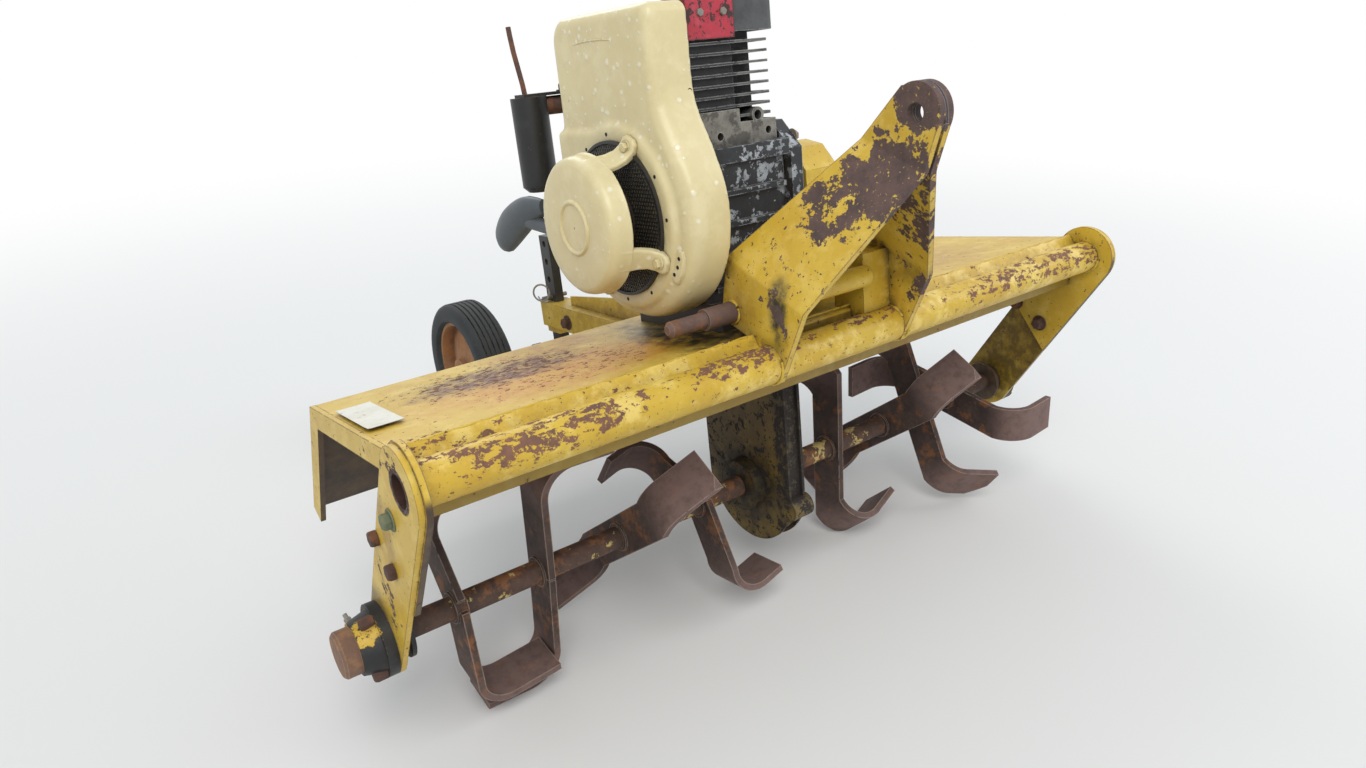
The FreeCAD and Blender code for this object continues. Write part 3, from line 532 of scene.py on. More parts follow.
yellow_mast = yellow_paint(
    "yellow_mast", (104, 82, 76), (78, 64, 62),
    speck_level=0.635, speck_scale=88.0, seed=8.0, edges=(0.40, 0.0022),
    grain_run=(1.0, 0.75, 0.75), fleck_level=0.635, stains=[
        ((-104, -20, 66), (12, 14, 44), (44, 50, 42), 1.0),
        ((-96, 40, 60), (16, 30, 40), (150, 110, 50), 0.5),
        ((104, -40, 90), (14, 40, 50), (110, 88, 44), 0.7)],
    bare_places=[
        ((0, -140, 270), (80, 34, 32), 0.26), ((-38, -104, 196), (74, 62, 52), 0.38),
        ((-66, -52, 172), (60, 50, 44), 0.46), ((60, -90, 170), (70, 60, 80), 0.47),
        ((-104, -18, 60), (14, 20, 50), 0.52), ((104, -40, 80), (14, 36, 70), 0.50)])
yellow_small = yellow_paint(
    "yellow_small", speck_level=0.65, speck_scale=100.0, seed=11.0, dirt_amount=1.0)
yellow_case = old_paint(
    "yellow_case", (128, 104, 42), (82, 68, 34), (150, 124, 60), (46, 38, 32), (34, 29, 26),
    speck_level=0.58, speck_scale=60.0, seed=13.0, edges=(0.40, 0.004), streaks=0.5,
    dirt=(30, 26, 22), dirt_amount=1.0, shine=0.55, stains=[
        ((2, 92, -120), (40, 16, 150), (34, 34, 34), 1.0),
        ((2, 171, -232), (60, 62, 62), (26, 24, 22), 1.0),
        ((2, 171, -140), (60, 80, 60), (86, 66, 36), 0.7)],
    bare_places=[((2, 92, -120), (40, 22, 170), 0.45)])
yellow_tail = yellow_paint(
    "yellow_tail", speck_level=0.65, speck_scale=95.0, seed=15.0,
    stains=[((12, 500, -70), (40, 200, 40), (140, 108, 48), 0.6)])
print("yellow paints:", len([m for m in bpy.data.materials if m.name.startswith("yellow")]))

# %% [markdown]
# ## Cream, black and red parts of the engine
# The cream blower housing is the best kept part: smooth satin paint with drops of rain and a
# little grey along its edges. The crankcase is black with pale grey chips, the bearing flanges
# are black under yellow overspray, and the red shroud is scuffed to a dull dark ground.

# %% Engine paints
cream_paint = old_paint(
    "cream_paint", (224, 210, 162), (214, 198, 150), (238, 228, 190), (126, 116, 96),
    (150, 140, 118), speck_level=0.74, speck_scale=70.0, scuff=0.3, edges=(0.60, 0.0012),
    shine=0.33, drops=0.36, dirt=(108, 92, 62), dirt_amount=0.7, seed=21.0)
crankcase_paint = old_paint(
    "crankcase_paint", (34, 36, 40), (26, 28, 31), (58, 62, 66), (176, 180, 184),
    (128, 132, 136), speck_level=0.67, speck_scale=34.0, edges=(0.47, 0.0018), shine=0.5,
    bare_rough=0.55, dirt=(58, 48, 36), dirt_amount=0.7, seed=23.0, bare_places=[
        ((-20, 90, 206), (70, 20, 34), 0.53), ((24, 100, 196), (22, 34, 70), 0.52),
        ((-60, 90, 140), (60, 16, 26), 0.54)])
flange_paint = old_paint(
    "flange_paint", (30, 31, 33), (22, 23, 25), (60, 60, 58), (214, 178, 52), (196, 156, 44),
    speck_level=0.70, speck_scale=40.0, edges=(0.60, 0.0014), shine=0.5,
    dirt=(44, 34, 26), seed=25.0, bare_rough=0.45,
    stains=[((514, 171, -232), (14, 70, 70), (98, 80, 60), 1.0)], bare_places=[
        ((-562, 150, -205), (22, 24, 16), 0.40), ((-570, 185, -232), (14, 30, 34), 0.46),
        ((562, 150, -205), (22, 24, 16), 0.50)])
black_paint = old_paint(
    "black_paint", (28, 29, 31), (21, 22, 24), (52, 54, 56), (92, 66, 50), (70, 56, 48),
    speck_level=0.68, speck_scale=80.0, edges=(0.50, 0.0014),
    dirt=(70, 58, 42), seed=27.0)
red_paint = old_paint(
    "red_paint", (184, 46, 64), (160, 38, 54), (204, 96, 108), (74, 52, 52), (54, 46, 46),
    speck_level=0.575, speck_scale=52.0, edges=(0.42, 0.003), shine=0.5, seed=29.0)
print("paints in all:", len(bpy.data.materials))

# %% [markdown]
# ## Rusted steel
# The rotor has worked in wet soil: its bars are dark brown, blotched with orange, and the edges
# that cut are worn to a paler metal. Bare steel could be a shiny metal with rust laid over it,
# but this rust is closed, so the material is a matt brown with pits, and only the worn edges and
# the ends of the blades are lighter.

# %% The maker of rusted steel
def rusted_steel(name, dark, middling, bright, worn, bright_level=0.55, edge_width=0.0016, seed=0.0,
                 roughness=0.78, rubbed=None, residue=None, residue_level=0.62, pits=0.9, shade_and_soil=0.5):
    material, tree, shader = new_material(name)
    surface = mottled(tree, dark, middling, 22.0, seed)
    fine = use(tree, patches, Scale=140.0, Level=0.52, Edge=0.08, Seed=seed + 4)
    surface = lay(tree, surface, fine, dark, 0.35)
    orange = use(tree, patches, Scale=34.0, Level=bright_level, Edge=0.06, Seed=seed + 1)
    surface = lay(tree, surface, orange, bright, 0.8)
    if residue:
        paint_left = use(tree, patches, Scale=40.0, Level=residue_level, Edge=0.01, Seed=seed + 2)
        surface = lay(tree, surface, paint_left, residue)
    if rubbed:
        axis, inner, outer, rubbed_colour = rubbed
        reach = {0: from_axis(tree, *axis), 1: inner / 1000, 2: outer / 1000}
        out_there = add(tree, "MapRange", reach).outputs[0]
        streaky = use(tree, patches, Scale=70.0, Level=0.46, Edge=0.14, Seed=seed + 3)
        streaky = between(tree, streaky, 0.5, 0.95)
        surface = lay(tree, surface, out_there, rubbed_colour, streaky)
    edges = use(tree, worn_edges, Width=edge_width, Level=0.40, Scale=60.0)
    surface = lay(tree, surface, edges, worn, 0.75)
    # painted shade mixed with soil: ambient occlusion lays a dark brown in corners and creases
    shaded_corners = use(tree, corner_shade_and_dirt, Reach=0.02, Amount=shade_and_soil, Scale=50.0)
    surface = lay(tree, surface, shaded_corners, (46, 36, 28))
    height = use(tree, grain, Scale=180.0, Coarse=0.45)
    height = math_node(tree, "ADD", height, times(tree, orange, 0.25))
    rough = between(tree, edges, roughness, roughness - 0.25)
    finish(tree, shader, surface, rough, height, pits, 0.0009)
    return material


# %% Steels and bare metals
ROTOR = (171, -232)
tine_steel = rusted_steel(
    "tine_steel", (54, 42, 39), (86, 68, 60), (132, 84, 46), (182, 160, 142), seed=1.0,
    bright_level=0.59, rubbed=(ROTOR, 84, 126, (122, 98, 92)), edge_width=0.0022)
shaft_steel = rusted_steel(
    "shaft_steel", (70, 54, 47), (98, 74, 62), (142, 94, 58), (170, 140, 110), seed=3.0,
    residue=(198, 176, 110), residue_level=0.60, bright_level=0.56)
pin_steel = rusted_steel(
    "pin_steel", (92, 72, 66), (116, 92, 84), (146, 96, 52), (158, 138, 124), seed=5.0,
    residue=(196, 156, 60), residue_level=0.655, pits=0.7)
cap_steel = rusted_steel(
    "cap_steel", (116, 88, 72), (136, 106, 88), (152, 112, 78), (176, 146, 120), seed=7.0,
    pits=0.6, shade_and_soil=0.3)
ear_steel = rusted_steel(
    "ear_steel", (50, 45, 48), (64, 57, 60), (98, 72, 56), (170, 158, 150), seed=9.0,
    bright_level=0.62, pits=0.5, shade_and_soil=0.2)
rim_steel = rusted_steel(
    "rim_steel", (140, 98, 66), (172, 132, 94), (168, 112, 66), (196, 160, 124), seed=11.0,
    pits=0.8)
BOLTS = dict(shade_and_soil=0.2, edge_width=0.0008)
bolt_steel = rusted_steel(
    "bolt_steel", (70, 49, 43), (90, 64, 54), (118, 76, 50), (140, 114, 98), seed=13.0, pits=0.5,
    **BOLTS)
green_bolt = rusted_steel(
    "green_bolt", (92, 104, 84), (112, 122, 98), (130, 118, 80), (150, 154, 134), seed=15.0,
    pits=0.4, **BOLTS)
zinc_bolt = rusted_steel(
    "zinc_bolt", (120, 118, 112), (150, 148, 142), (140, 120, 96), (190, 190, 186), seed=17.0,
    pits=0.3, roughness=0.5, **BOLTS)
print("steels:", [m.name for m in bpy.data.materials if m.name.endswith(("steel", "bolt"))])

# %% [markdown]
# ## The cylinder
# One casting shows three finishes: black paint on the left half of the fins, nearly bare metal on
# the right half, and a bare mottled grey on the pads below. It is one piece of metal, so the
# material splits it by place: height and depth choose the pads, and the step between the fin
# halves chooses the paint.

# %% Cylinder material
FIN_STEP = (-0.0405, -0.0375)
PAD_FRONT, PAD_TOP = 0.0975, 0.2605


def cast_metal(name, painted_left):
    material, tree, shader = new_material(name)
    if painted_left:
        place = add(tree, "SeparateXYZ", {0: use(tree, level_place)}).outputs
        casting = mottled(tree, (140, 136, 126), (96, 92, 86), 48.0)
        oily = use(tree, patches, Scale=46.0, Level=0.53, Edge=0.03)
        casting = lay(tree, casting, oily, (58, 54, 50), 0.75)
        fins_left = mottled(tree, (34, 35, 37), (48, 49, 50), 30.0)
        fins_right = mottled(tree, (104, 102, 98), (60, 60, 60), 40.0)
        right_half = add(tree, "MapRange", {0: place[0], 1: FIN_STEP[0], 2: FIN_STEP[1]}).outputs[0]
        in_front = math_node(tree, "LESS_THAN", place[1], PAD_FRONT)
        pad = most(tree, in_front, math_node(tree, "LESS_THAN", place[2], PAD_TOP))
        surface = over(tree, pad, over(tree, right_half, fins_left, fins_right), casting)
    else:
        surface = mottled(tree, (58, 60, 62), (84, 86, 88), 26.0)
    edges = use(tree, worn_edges, Width=0.0012, Level=0.42, Scale=90.0)
    surface = lay(tree, surface, edges, (196, 196, 192), 0.7)
    # painted shade: ambient occlusion lays near-black in the crevices between the fins
    shaded_corners = use(tree, corner_shade_and_dirt, Reach=0.014, Amount=0.85, Scale=70.0)
    surface = lay(tree, surface, shaded_corners, (26, 24, 22))
    sand = use(tree, grain, Scale=420.0, Coarse=0.35)
    finish(tree, shader, surface, between(tree, edges, 0.62, 0.35), sand, 0.6, 0.0007)
    return material


fin_metal = cast_metal("fin_metal", True)
head_metal = cast_metal("head_metal", False)
print("cast metals:", fin_metal.name, head_metal.name)

# %% [markdown]
# ## Rubber, plastic and vinyl
# The tyre is old rubber, nearly black, with pale soil in its grooves. The pull handle is a
# blue-grey moulding with a dull shine, and the plate on the hood is blank white vinyl that has
# yellowed and gathered a little grit, with painted shade in its corners.

# %% Rubber, plastic and vinyl
def plain_coat(name, main, other, grime_and_shade, roughness, relief, relief_scale, shade_and_dirt_reach=0.006,
               dirt_amount=0.9, specks=0.66):
    material, tree, shader = new_material(name, roughness)
    dust = use(tree, patches, Scale=150.0, Level=specks, Edge=0.03)
    surface = lay(tree, mottled(tree, main, other, 24.0), dust, grime_and_shade, 0.6)
    # ambient occlusion lays the grime colour in corners: painted shade where it is darker than the
    # surface, as on the plate, and dust where it is paler
    shaded_corners = use(tree, corner_shade_and_dirt, Reach=shade_and_dirt_reach, Amount=dirt_amount, Scale=90.0)
    surface = lay(tree, surface, shaded_corners, grime_and_shade)
    rough = between(tree, dust, roughness, min(1.0, roughness + 0.25))
    height = use(tree, grain, Scale=relief_scale, Coarse=0.4)
    finish(tree, shader, surface, rough, height, relief, 0.0004)
    return material


tyre_rubber = plain_coat("tyre_rubber", (33, 37, 40), (45, 49, 51), (92, 86, 76), 0.72, 0.5, 380.0)
handle_plastic = plain_coat(
    "handle_plastic", (58, 66, 73), (70, 78, 84), (112, 110, 100), 0.42, 0.4, 300.0)
screen_metal = plain_coat(
    "screen_metal", (24, 25, 26), (34, 34, 34), (70, 60, 48), 0.45, 0.3, 400.0)
plate_vinyl = plain_coat(
    "plate_vinyl", (228, 226, 214), (212, 208, 190), (140, 118, 80), 0.35, 0.2, 200.0, 0.004, 0.5,
    0.64)
# painted shade: a near-black finish that stands in for the shadowed inside of the holes
painted_hole_shade = plain_coat("painted_hole_shade", (14, 13, 12), (24, 22, 20), (40, 34, 28), 0.8, 0.3, 200.0)
print("materials:", len(bpy.data.materials))

# %% [markdown]
# ## Dressing the solids
# Each solid keeps its shape and gets its finish here, from one table.

# %% Materials on the solids
FINISHES = {
    yellow_tube: "main_tube",
    yellow_hood: "hood_sheet",
    yellow_arm: "arm_left arm_right",
    yellow_end: "hood_end_left hood_end_right",
    yellow_mast: "mast_plate_left mast_plate_right",
    yellow_small: "mast_cross_tube mast_bracket belt_guard",
    yellow_case: "chain_case",
    yellow_tail: "tail_beam post_socket",
    cream_paint: "blower_housing starter_cup",
    crankcase_paint: "crankcase bearing_plate",
    flange_paint: "bearing_left bearing_right",
    black_paint: "engine_base exhaust_can depth_post",
    red_paint: "head_shroud",
    tine_steel: "tines_left tines_right",
    shaft_steel: "rotor_shaft",
    pin_steel: "hitch_pin_left hitch_pin_right",
    cap_steel: "bearing_cap_left bearing_cap_right",
    ear_steel: "mast_spacer",
    rim_steel: "wheel_rim",
    bolt_steel: "exhaust_pipe",
    fin_metal: "cylinder",
    head_metal: "cylinder_head",
    tyre_rubber: "tyre",
    handle_plastic: "pull_handle",
    screen_metal: "starter_screen",
}
for material, node_names in FINISHES.items():
    for node_name in node_names.split():
        slots = nodes[node_name].data.materials
        slots.clear()
        slots.append(material)
print("solids dressed:", sum(len(names.split()) for names in FINISHES.values()), "of", len(nodes))

# %% [markdown]
# ## Tools for small pieces
# The small pieces are meshes made in code, in level millimetres, and leaned back at the end. A
# turned piece comes from a profile, a folded one from sections, and a bead from a line of points.
# Library shapes such as a plain cylinder would be quicker, but they have sharp edges everywhere,
# and a real bolt or cup shows the light on its small chamfers.

# %% Making a piece from a mesh
made = []


def make_piece(name, data, material, sharp=34, bevel=0.0, body="frame"):
    """Turns a bmesh in level millimetres into a piece that rides on a body."""
    mesh = bpy.data.meshes.new(name)
    bmesh.ops.recalc_face_normals(data, faces=data.faces)
    data.to_mesh(mesh)
    data.free()
    mesh.transform(from_level)
    mesh.polygons.foreach_set("use_smooth", [True] * len(mesh.polygons))
    mesh.set_sharp_from_angle(angle=math.radians(sharp))
    mesh.materials.append(material)
    piece = bpy.data.objects.new(name, mesh)
    scene.collection.objects.link(piece)
    if bevel:
        rounding = piece.modifiers.new("rounding", "BEVEL")
        rounding.width = bevel / 1000
        rounding.segments = 2
        rounding.limit_method = "ANGLE"
        rounding.angle_limit = math.radians(35)
    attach(piece, body)
    made.append(piece)
    print(name, "faces", len(mesh.polygons))


# %% Shapes that the pieces are built from
def skin(data, rings, closed=False):
    """Faces between rings of points. The ends are capped, or joined if the skin is closed."""
    rows = [[data.verts.new(point) for point in ring] for ring in rings]
    pairs = list(zip(rows, rows[1:])) + ([(rows[-1], rows[0])] if closed else [])
    count = len(rows[0])
    for one, other in pairs:
        for i in range(count):
            data.faces.new((one[i], one[(i + 1) % count], other[(i + 1) % count], other[i]))
    if not closed:
        data.faces.new(rows[0])
        data.faces.new(rows[-1][::-1])


def layered(data, outline, levels, centre=(0, 0)):
    """An outline of (y, z) carried through levels of x, shift in y, and growth in y and z."""
    mid_y, mid_z = centre
    skin(data, [[Vector((x, mid_y + (y - mid_y) * wide + shift, mid_z + (z - mid_z) * tall))
                 for y, z in outline] for x, shift, wide, tall in levels])


def lathe(data, profile, y, z, steps=40):
    """Closed profile of (x, radius) points turned about an axis along X."""
    turns = [2 * math.pi * step / steps for step in range(steps)]
    skin(data, [[Vector((x, y + r * math.cos(a), z + r * math.sin(a))) for x, r in profile]
                for a in turns], closed=True)


def frame_of(direction):
    """Two directions square to a third one."""
    direction = Vector(direction).normalized()
    helper = Vector((0, 0, 1)) if abs(direction.z) < 0.9 else Vector((0, 1, 0))
    side = direction.cross(helper).normalized()
    return direction, side, direction.cross(side)


def ring(centre, side, up, radius, count, turn=0.0):
    angles = [2 * math.pi * i / count + turn for i in range(count)]
    return [Vector(centre) + side * (radius * math.cos(a)) + up * (radius * math.sin(a))
            for a in angles]


def stack(data, place, direction, levels, count, turn=0.0):
    """Rings on an axis, at levels of distance from the place and radius."""
    out, side, up = frame_of(direction)
    skin(data, [ring(Vector(place) + out * far, side, up, radius, count, turn)
                for far, radius in levels])


def bolt(data, place, direction, across=19.0, height=8.0, washer=0.0, turn=0.3):
    """Hexagon head with a chamfered crown, and a washer under it if wanted."""
    radius = across / math.sqrt(3)
    if washer:
        stack(data, place, direction, [(0, across * 0.78), (washer, across * 0.76)], 24)
    stack(data, place, direction, [(washer, radius), (washer + height * 0.78, radius),
                                   (washer + height, radius * 0.82)], 6, turn)


def dimple(data, place, direction, radius):
    """A hole shown by painted shade: a flat disc just proud of the sheet, which takes a near-black
    finish.
    """
    stack(data, place, direction, [(-0.4, radius * 1.05), (0.25, radius), (0.05, radius * 0.7)], 18)


def bead(data, points, radius, sides=8, closed=False, lumps=0.0, seed=1):
    """Round bar, wire or weld along a line of points. lumps makes it uneven, as a weld is."""
    chance = random.Random(seed)
    points = [Vector(p) for p in points]
    rings = []
    count = len(points)
    for i, point in enumerate(points):
        before = points[i - 1] if (i or closed) else point
        after = points[(i + 1) % count] if (i < count - 1 or closed) else point
        out, side, up = frame_of(after - before)
        rings.append(ring(point, side, up, radius * (1 + lumps * (chance.random() - 0.5)), sides))
    skin(data, rings, closed=closed)


def round_line(y, z, radius, x, count=32, first=0.0, last=360.0):
    """Points of an arc square to X, with angles in degrees from +Y towards +Z."""
    steps = count if last - first >= 360 else count + 1
    angles = [math.radians(first + (last - first) * i / count) for i in range(steps)]
    return [(x, y + radius * math.cos(a), z + radius * math.sin(a)) for a in angles]


print("tools ready")

# %% [markdown]
# ## Recoil starter
# The starter is a shallow cream cup that stands on four arms in front of a black perforated
# screen. Solid arms and a closed wall would hide the screen, which is what one sees first here,
# so the cup is a thin shell with a real gap behind it, and the dark rope pulley shows in the gap.

# %% Starter cup
CRANK = (170.0, 163.0)
HUB = Vector((0, *CRANK))
cup = bmesh.new()
lathe(cup, [
    (-233, 1), (-233, 26), (-234.2, 27), (-235.4, 28.4), (-235.4, 30), (-234.2, 31.4), (-233, 32.4),
    (-233.2, 52), (-232.6, 69), (-231, 73.5), (-228, 76.6), (-223, 78.2), (-215, 79), (-209, 79.6),
    (-207.6, 80.6), (-206.4, 80), (-206.4, 77), (-215, 76), (-226, 74), (-230, 66), (-231, 40),
    (-231, 1)], *CRANK, steps=72)
make_piece("starter_cup_shell", cup, cream_paint, 40)

# %% Starter arms with their feet and bolts
ARM_ANGLES = (27, 117, 207, 297)
CREASE = 2
# x and radius of the outer skin, x and radius of the inner skin, half width
ARM_SECTIONS = [
    (-224, 77.0, -218, 70, 15.0), (-208, 79.5, -206, 73, 14.5), (-198, 81.0, -194, 75, 13.5),
    (-187, 85.0, -182, 79, 12.5), (-181, 91.0, -174, 86, 12.5), (-179, 95.0, -172, 92, 12.5),
    (-178.5, 100.0, -172, 100.0, 11.0), (-177.5, 104.0, -172, 104.0, 6.5)]
arms = bmesh.new()
feet_bolts = bmesh.new()
for angle in ARM_ANGLES:
    turn = math.radians(angle)
    across = Vector((0, -math.sin(turn), math.cos(turn)))
    out = Vector((0, math.cos(turn), math.sin(turn)))
    rings = []
    for x_out, r_out, x_in, r_in, half in ARM_SECTIONS:
        outer = HUB + Vector((x_out, 0, 0)) + out * r_out
        inner = HUB + Vector((x_in, 0, 0)) + out * r_in
        middle = outer + (inner - outer) * 0.22
        rings.append([point + across * share for point, share in (
            (outer, CREASE - half), (outer, half - CREASE), (middle, half),
            (inner, half), (inner, -half), (middle, -half))])
    skin(arms, rings)
    bolt(feet_bolts, HUB + Vector((-179, 0, 0)) + out * 93, (-1, 0, 0), 10, 4.5, 1.2, turn)
make_piece("starter_arms", arms, cream_paint, 50, 1.2)
make_piece("starter_bolts", feet_bolts, cream_paint)
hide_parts("starter_cup")

# %% [markdown]
# The screen is sheet metal punched with six-sided holes on a six-sided grid. An alpha pattern
# would do from far off, but it goes flat close up. Each cell here is a ring of six faces between
# an outer and an inner hexagon, which is cheap and gives true holes with thickness in the light.

# %% Perforated screen
PITCH = 5.0
ROW_HEIGHT = PITCH * math.sqrt(3) / 2
CELL = PITCH / math.sqrt(3)
HOLE = 1.95
SCREEN_X, SCREEN_INNER, SCREEN_OUTER = -176.0, 36, 86.5
HEXAGON = [math.radians(30 + 60 * i) for i in range(6)]
screen = bmesh.new()
grid = {}


def screen_point(y, z):
    return screen.verts.new((SCREEN_X, CRANK[0] + y, CRANK[1] + z))


def corner(y, z):
    """A corner that neighbouring cells share."""
    key = (round(y, 2), round(z, 2))
    if key not in grid:
        grid[key] = screen_point(y, z)
    return grid[key]


cells = 0
for row in range(-20, 21):
    for column in range(-20, 21):
        y = column * PITCH + (row % 2) * PITCH / 2
        z = row * ROW_HEIGHT
        if SCREEN_INNER < math.hypot(y, z) < SCREEN_OUTER:
            cells += 1
            outer = [corner(y + CELL * math.cos(a), z + CELL * math.sin(a)) for a in HEXAGON]
            inner = [screen_point(y + HOLE * math.cos(a), z + HOLE * math.sin(a)) for a in HEXAGON]
            for i in range(6):
                screen.faces.new((outer[i], outer[(i + 1) % 6], inner[(i + 1) % 6], inner[i]))
make_piece("screen_mesh", screen, screen_metal)
thickness = made[-1].modifiers.new("sheet", "SOLIDIFY")
thickness.thickness = 0.0009
rim = bmesh.new()
lathe(rim, [(-176.6, 86), (-177, 88), (-176.6, 89.5), (-172, 89.5), (-172, 86)], *CRANK, steps=72)
lathe(rim, [(-178.4, 30), (-178.4, 38), (-174, 38), (-174, 30)], *CRANK, steps=48)
make_piece("screen_rim", rim, screen_metal)
pulley = bmesh.new()
lathe(pulley, [(-229, 0.5), (-229, 48), (-222, 50), (-216, 46), (-206, 46), (-200, 50), (-196, 44),
               (-179, 40), (-179, 0.5)], *CRANK, steps=48)
make_piece("starter_pulley", pulley, screen_metal)
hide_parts("starter_screen")
print("screen cells", cells)

# %% [markdown]
# The rope ends in a horn-shaped handle, thick in the middle and thin at its ends. Loft sections of
# the solid show as facets, so the piece follows the same line with closely spaced oval rings.

# %% Pull handle
GRIP_X = -200.0
# y, z, radius along the middle of the grip
GRIP = [(300, 174, 10), (320, 171, 15), (344, 166, 20), (368, 157, 23.5), (392, 146, 25),
        (412, 134, 24), (427, 123, 20.5), (436, 116, 13)]
FLATTENING = 0.62
RINGS, SIDES = 29, 18
handle = bmesh.new()
rings = []
for index in range(RINGS):
    along = index / (RINGS - 1) * (len(GRIP) - 1)
    first = min(int(along), len(GRIP) - 2)
    share = along - first
    near = [min(max(first + step, 0), len(GRIP) - 1) for step in (-1, 0, 1, 2)]
    before, one, two, after = (Vector(GRIP[k]) for k in near)
    point = 0.5 * (2 * one + (two - before) * share
                   + (2 * before - 5 * one + 4 * two - after) * share ** 2
                   + (3 * one - before - 3 * two + after) * share ** 3)
    slope = Vector((0, (two - before).x, (two - before).y)).normalized()
    normal = Vector((0, -slope.z, slope.y))
    middle = Vector((GRIP_X, point.x, point.y))
    rings.append(ring(middle, Vector((FLATTENING, 0, 0)), normal, point.z, SIDES))
skin(handle, rings)
bead(handle, [(GRIP_X, y, z) for y, z in ((238, 147), (290, 149), (330, 152), (366, 155))], 9.5, 14)
make_piece("handle_grip", handle, handle_plastic, 60)
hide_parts("pull_handle")

# %% [markdown]
# ## Details of the blower housing
# The pressed housing has no hard corner. Its forms are built as separate closed shells, joined by
# a voxel remesh, and smoothed, which rounds every meeting as a press tool does.

# %% Housing skin
DUCT_MIDDLE, DUCT_HALF = 186.5, 102
DUCT_FOOT, DUCT_HEIGHT = 163, 227
housing = bmesh.new()
duct = [(84, DUCT_FOOT), (289, DUCT_FOOT)]
for y, radius, way, degrees in ((289, 26, 1, range(0, 91, 15)), (84, 13, -1, range(90, -1, -15))):
    for angle in degrees:
        turn = math.radians(angle)
        duct.append((y - way * radius * (1 - math.cos(turn)), 390 - radius * (1 - math.sin(turn))))
insets = ((-112, 0), (-155, 0), (-160.5, 1.4), (-164.4, 5), (-166, 10.5))
levels = [(x, 0, 1 - inset / DUCT_HALF, 1 - inset / DUCT_HEIGHT) for x, inset in insets]
layered(housing, duct, levels, (DUCT_MIDDLE, DUCT_FOOT))
for centre_y in (160, 179):
    lathe(housing, [(-112, 1), (-112, 124), (-148, 124), (-156, 122.5), (-161, 119), (-164.5, 113),
                    (-166, 105), (-166, 1)], centre_y, 167, steps=80)
lathe(housing, [(-150, 1), (-150, 108), (-166, 108), (-169, 106.5), (-171, 104.5), (-172, 101),
                (-172, 1)], *CRANK, steps=80)
low, high = Vector((-171.6, 172, 160)), Vector((-150, 292, 263))
shape = Matrix.Translation((low + high) / 2) @ Matrix.Diagonal((*(high - low), 1.0))
block = bmesh.ops.create_cube(housing, size=1.0, matrix=shape)["verts"]
edges = {edge for vert in block for edge in vert.link_edges}
middles = {edge: (edge.verts[0].co + edge.verts[1].co) / 2 for edge in edges}
seen_edges = [edge for edge, middle in middles.items() if middle.x < -160 and middle.z > 170]
bmesh.ops.bevel(housing, geom=seen_edges, offset=5, segments=3, profile=0.5, affect="EDGES")
flare = [(92, 304), (84, 304), (81, 288), (75, 272), (66, 256), (57, 240), (51, 226), (92, 200)]
backs = ((-112, 0), (-148, 0), (-157, 3), (-163, 8), (-166, 15))
layered(housing, flare, [(x, back, 1, 1) for x, back in backs])
rear_flare = [(270, 345), (288.5, 345), (291, 300), (297, 268), (302, 240), (250, 220)]
backs = ((-112, 0), (-150, 0), (-160, 6), (-166, 16))
layered(housing, rear_flare, [(x, -back, 1, 1) for x, back in backs])
make_piece("housing_skin", housing, cream_paint, 180)
join = made[-1].modifiers.new("join", "REMESH")
join.mode = "VOXEL"
join.voxel_size = 0.0024
join.use_smooth_shade = True
soften = made[-1].modifiers.new("soften", "SMOOTH")
soften.factor = 0.5
soften.iterations = 9
solid = made[-1].evaluated_get(bpy.context.evaluated_depsgraph_get())
made[-1].data = bpy.data.meshes.new_from_object(solid)
made[-1].modifiers.clear()
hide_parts("blower_housing")
print("remeshed faces", len(made[-1].data.polygons))

# %% [markdown]
# A dark ring of small holes runs round the starter, a pressed seam divides the duct from the
# scroll, and one pad has three holes. A boolean cut would leave rough rims on the remeshed skin,
# so each hole is a shallow dimple with a soft lip in a near-black finish: painted shade where the
# open hole would be.

# %% Holes, seam and pad
FACE_X, FACE_RING = -172.0, 96
HOLE_ANGLES = (3, 55, 86, 148, 177, 238, 271, 320, 345)
holes = bmesh.new()
for angle in HOLE_ANGLES:
    turn = math.radians(angle)
    place = HUB + Vector((FACE_X, FACE_RING * math.cos(turn), FACE_RING * math.sin(turn)))
    dimple(holes, place, (-1, 0, 0), 2.2)
dimple(holes, (-118, 83.2, 297.5), (0, -1, 0), 3.0)
for y, z in ((63.5, 126), (67.5, 116), (75, 107)):
    dimple(holes, (-168.6, y, z), (-1, 0, 0), 2.2)
make_piece("housing_holes", holes, painted_hole_shade)
pad = bmesh.new()
pad_outline = [(72, 96), (80, 98), (80, 106), (72, 128), (66, 135), (57, 134), (56, 126), (62, 108)]
grown = ((-160, 1.1), (-167.2, 1.0), (-168.4, 0.92))
layered(pad, pad_outline, [(x, 0, grow, grow) for x, grow in grown], (68, 116))
make_piece("housing_pad", pad, cream_paint, 50, 1.0)
seam = bmesh.new()
bead(seam, [(-165.6, 236, 359), (-166, 205, 360.5), (-166, 175, 360), (-165.6, 156, 358)], 1.0, 8)
bead(seam, round_line(193, 380, 17, -162.6, 16, 190, 350), 1.3, 8)
make_piece("housing_seam", seam, cream_paint, 60)

# %% [markdown]
# ## Bolts
# Hexagon bolts hold the arms, the bearings, the crankcase and the head. Placing them by a table
# keeps like bolts alike, and two rusty heads and one green one stand where the picture has them.

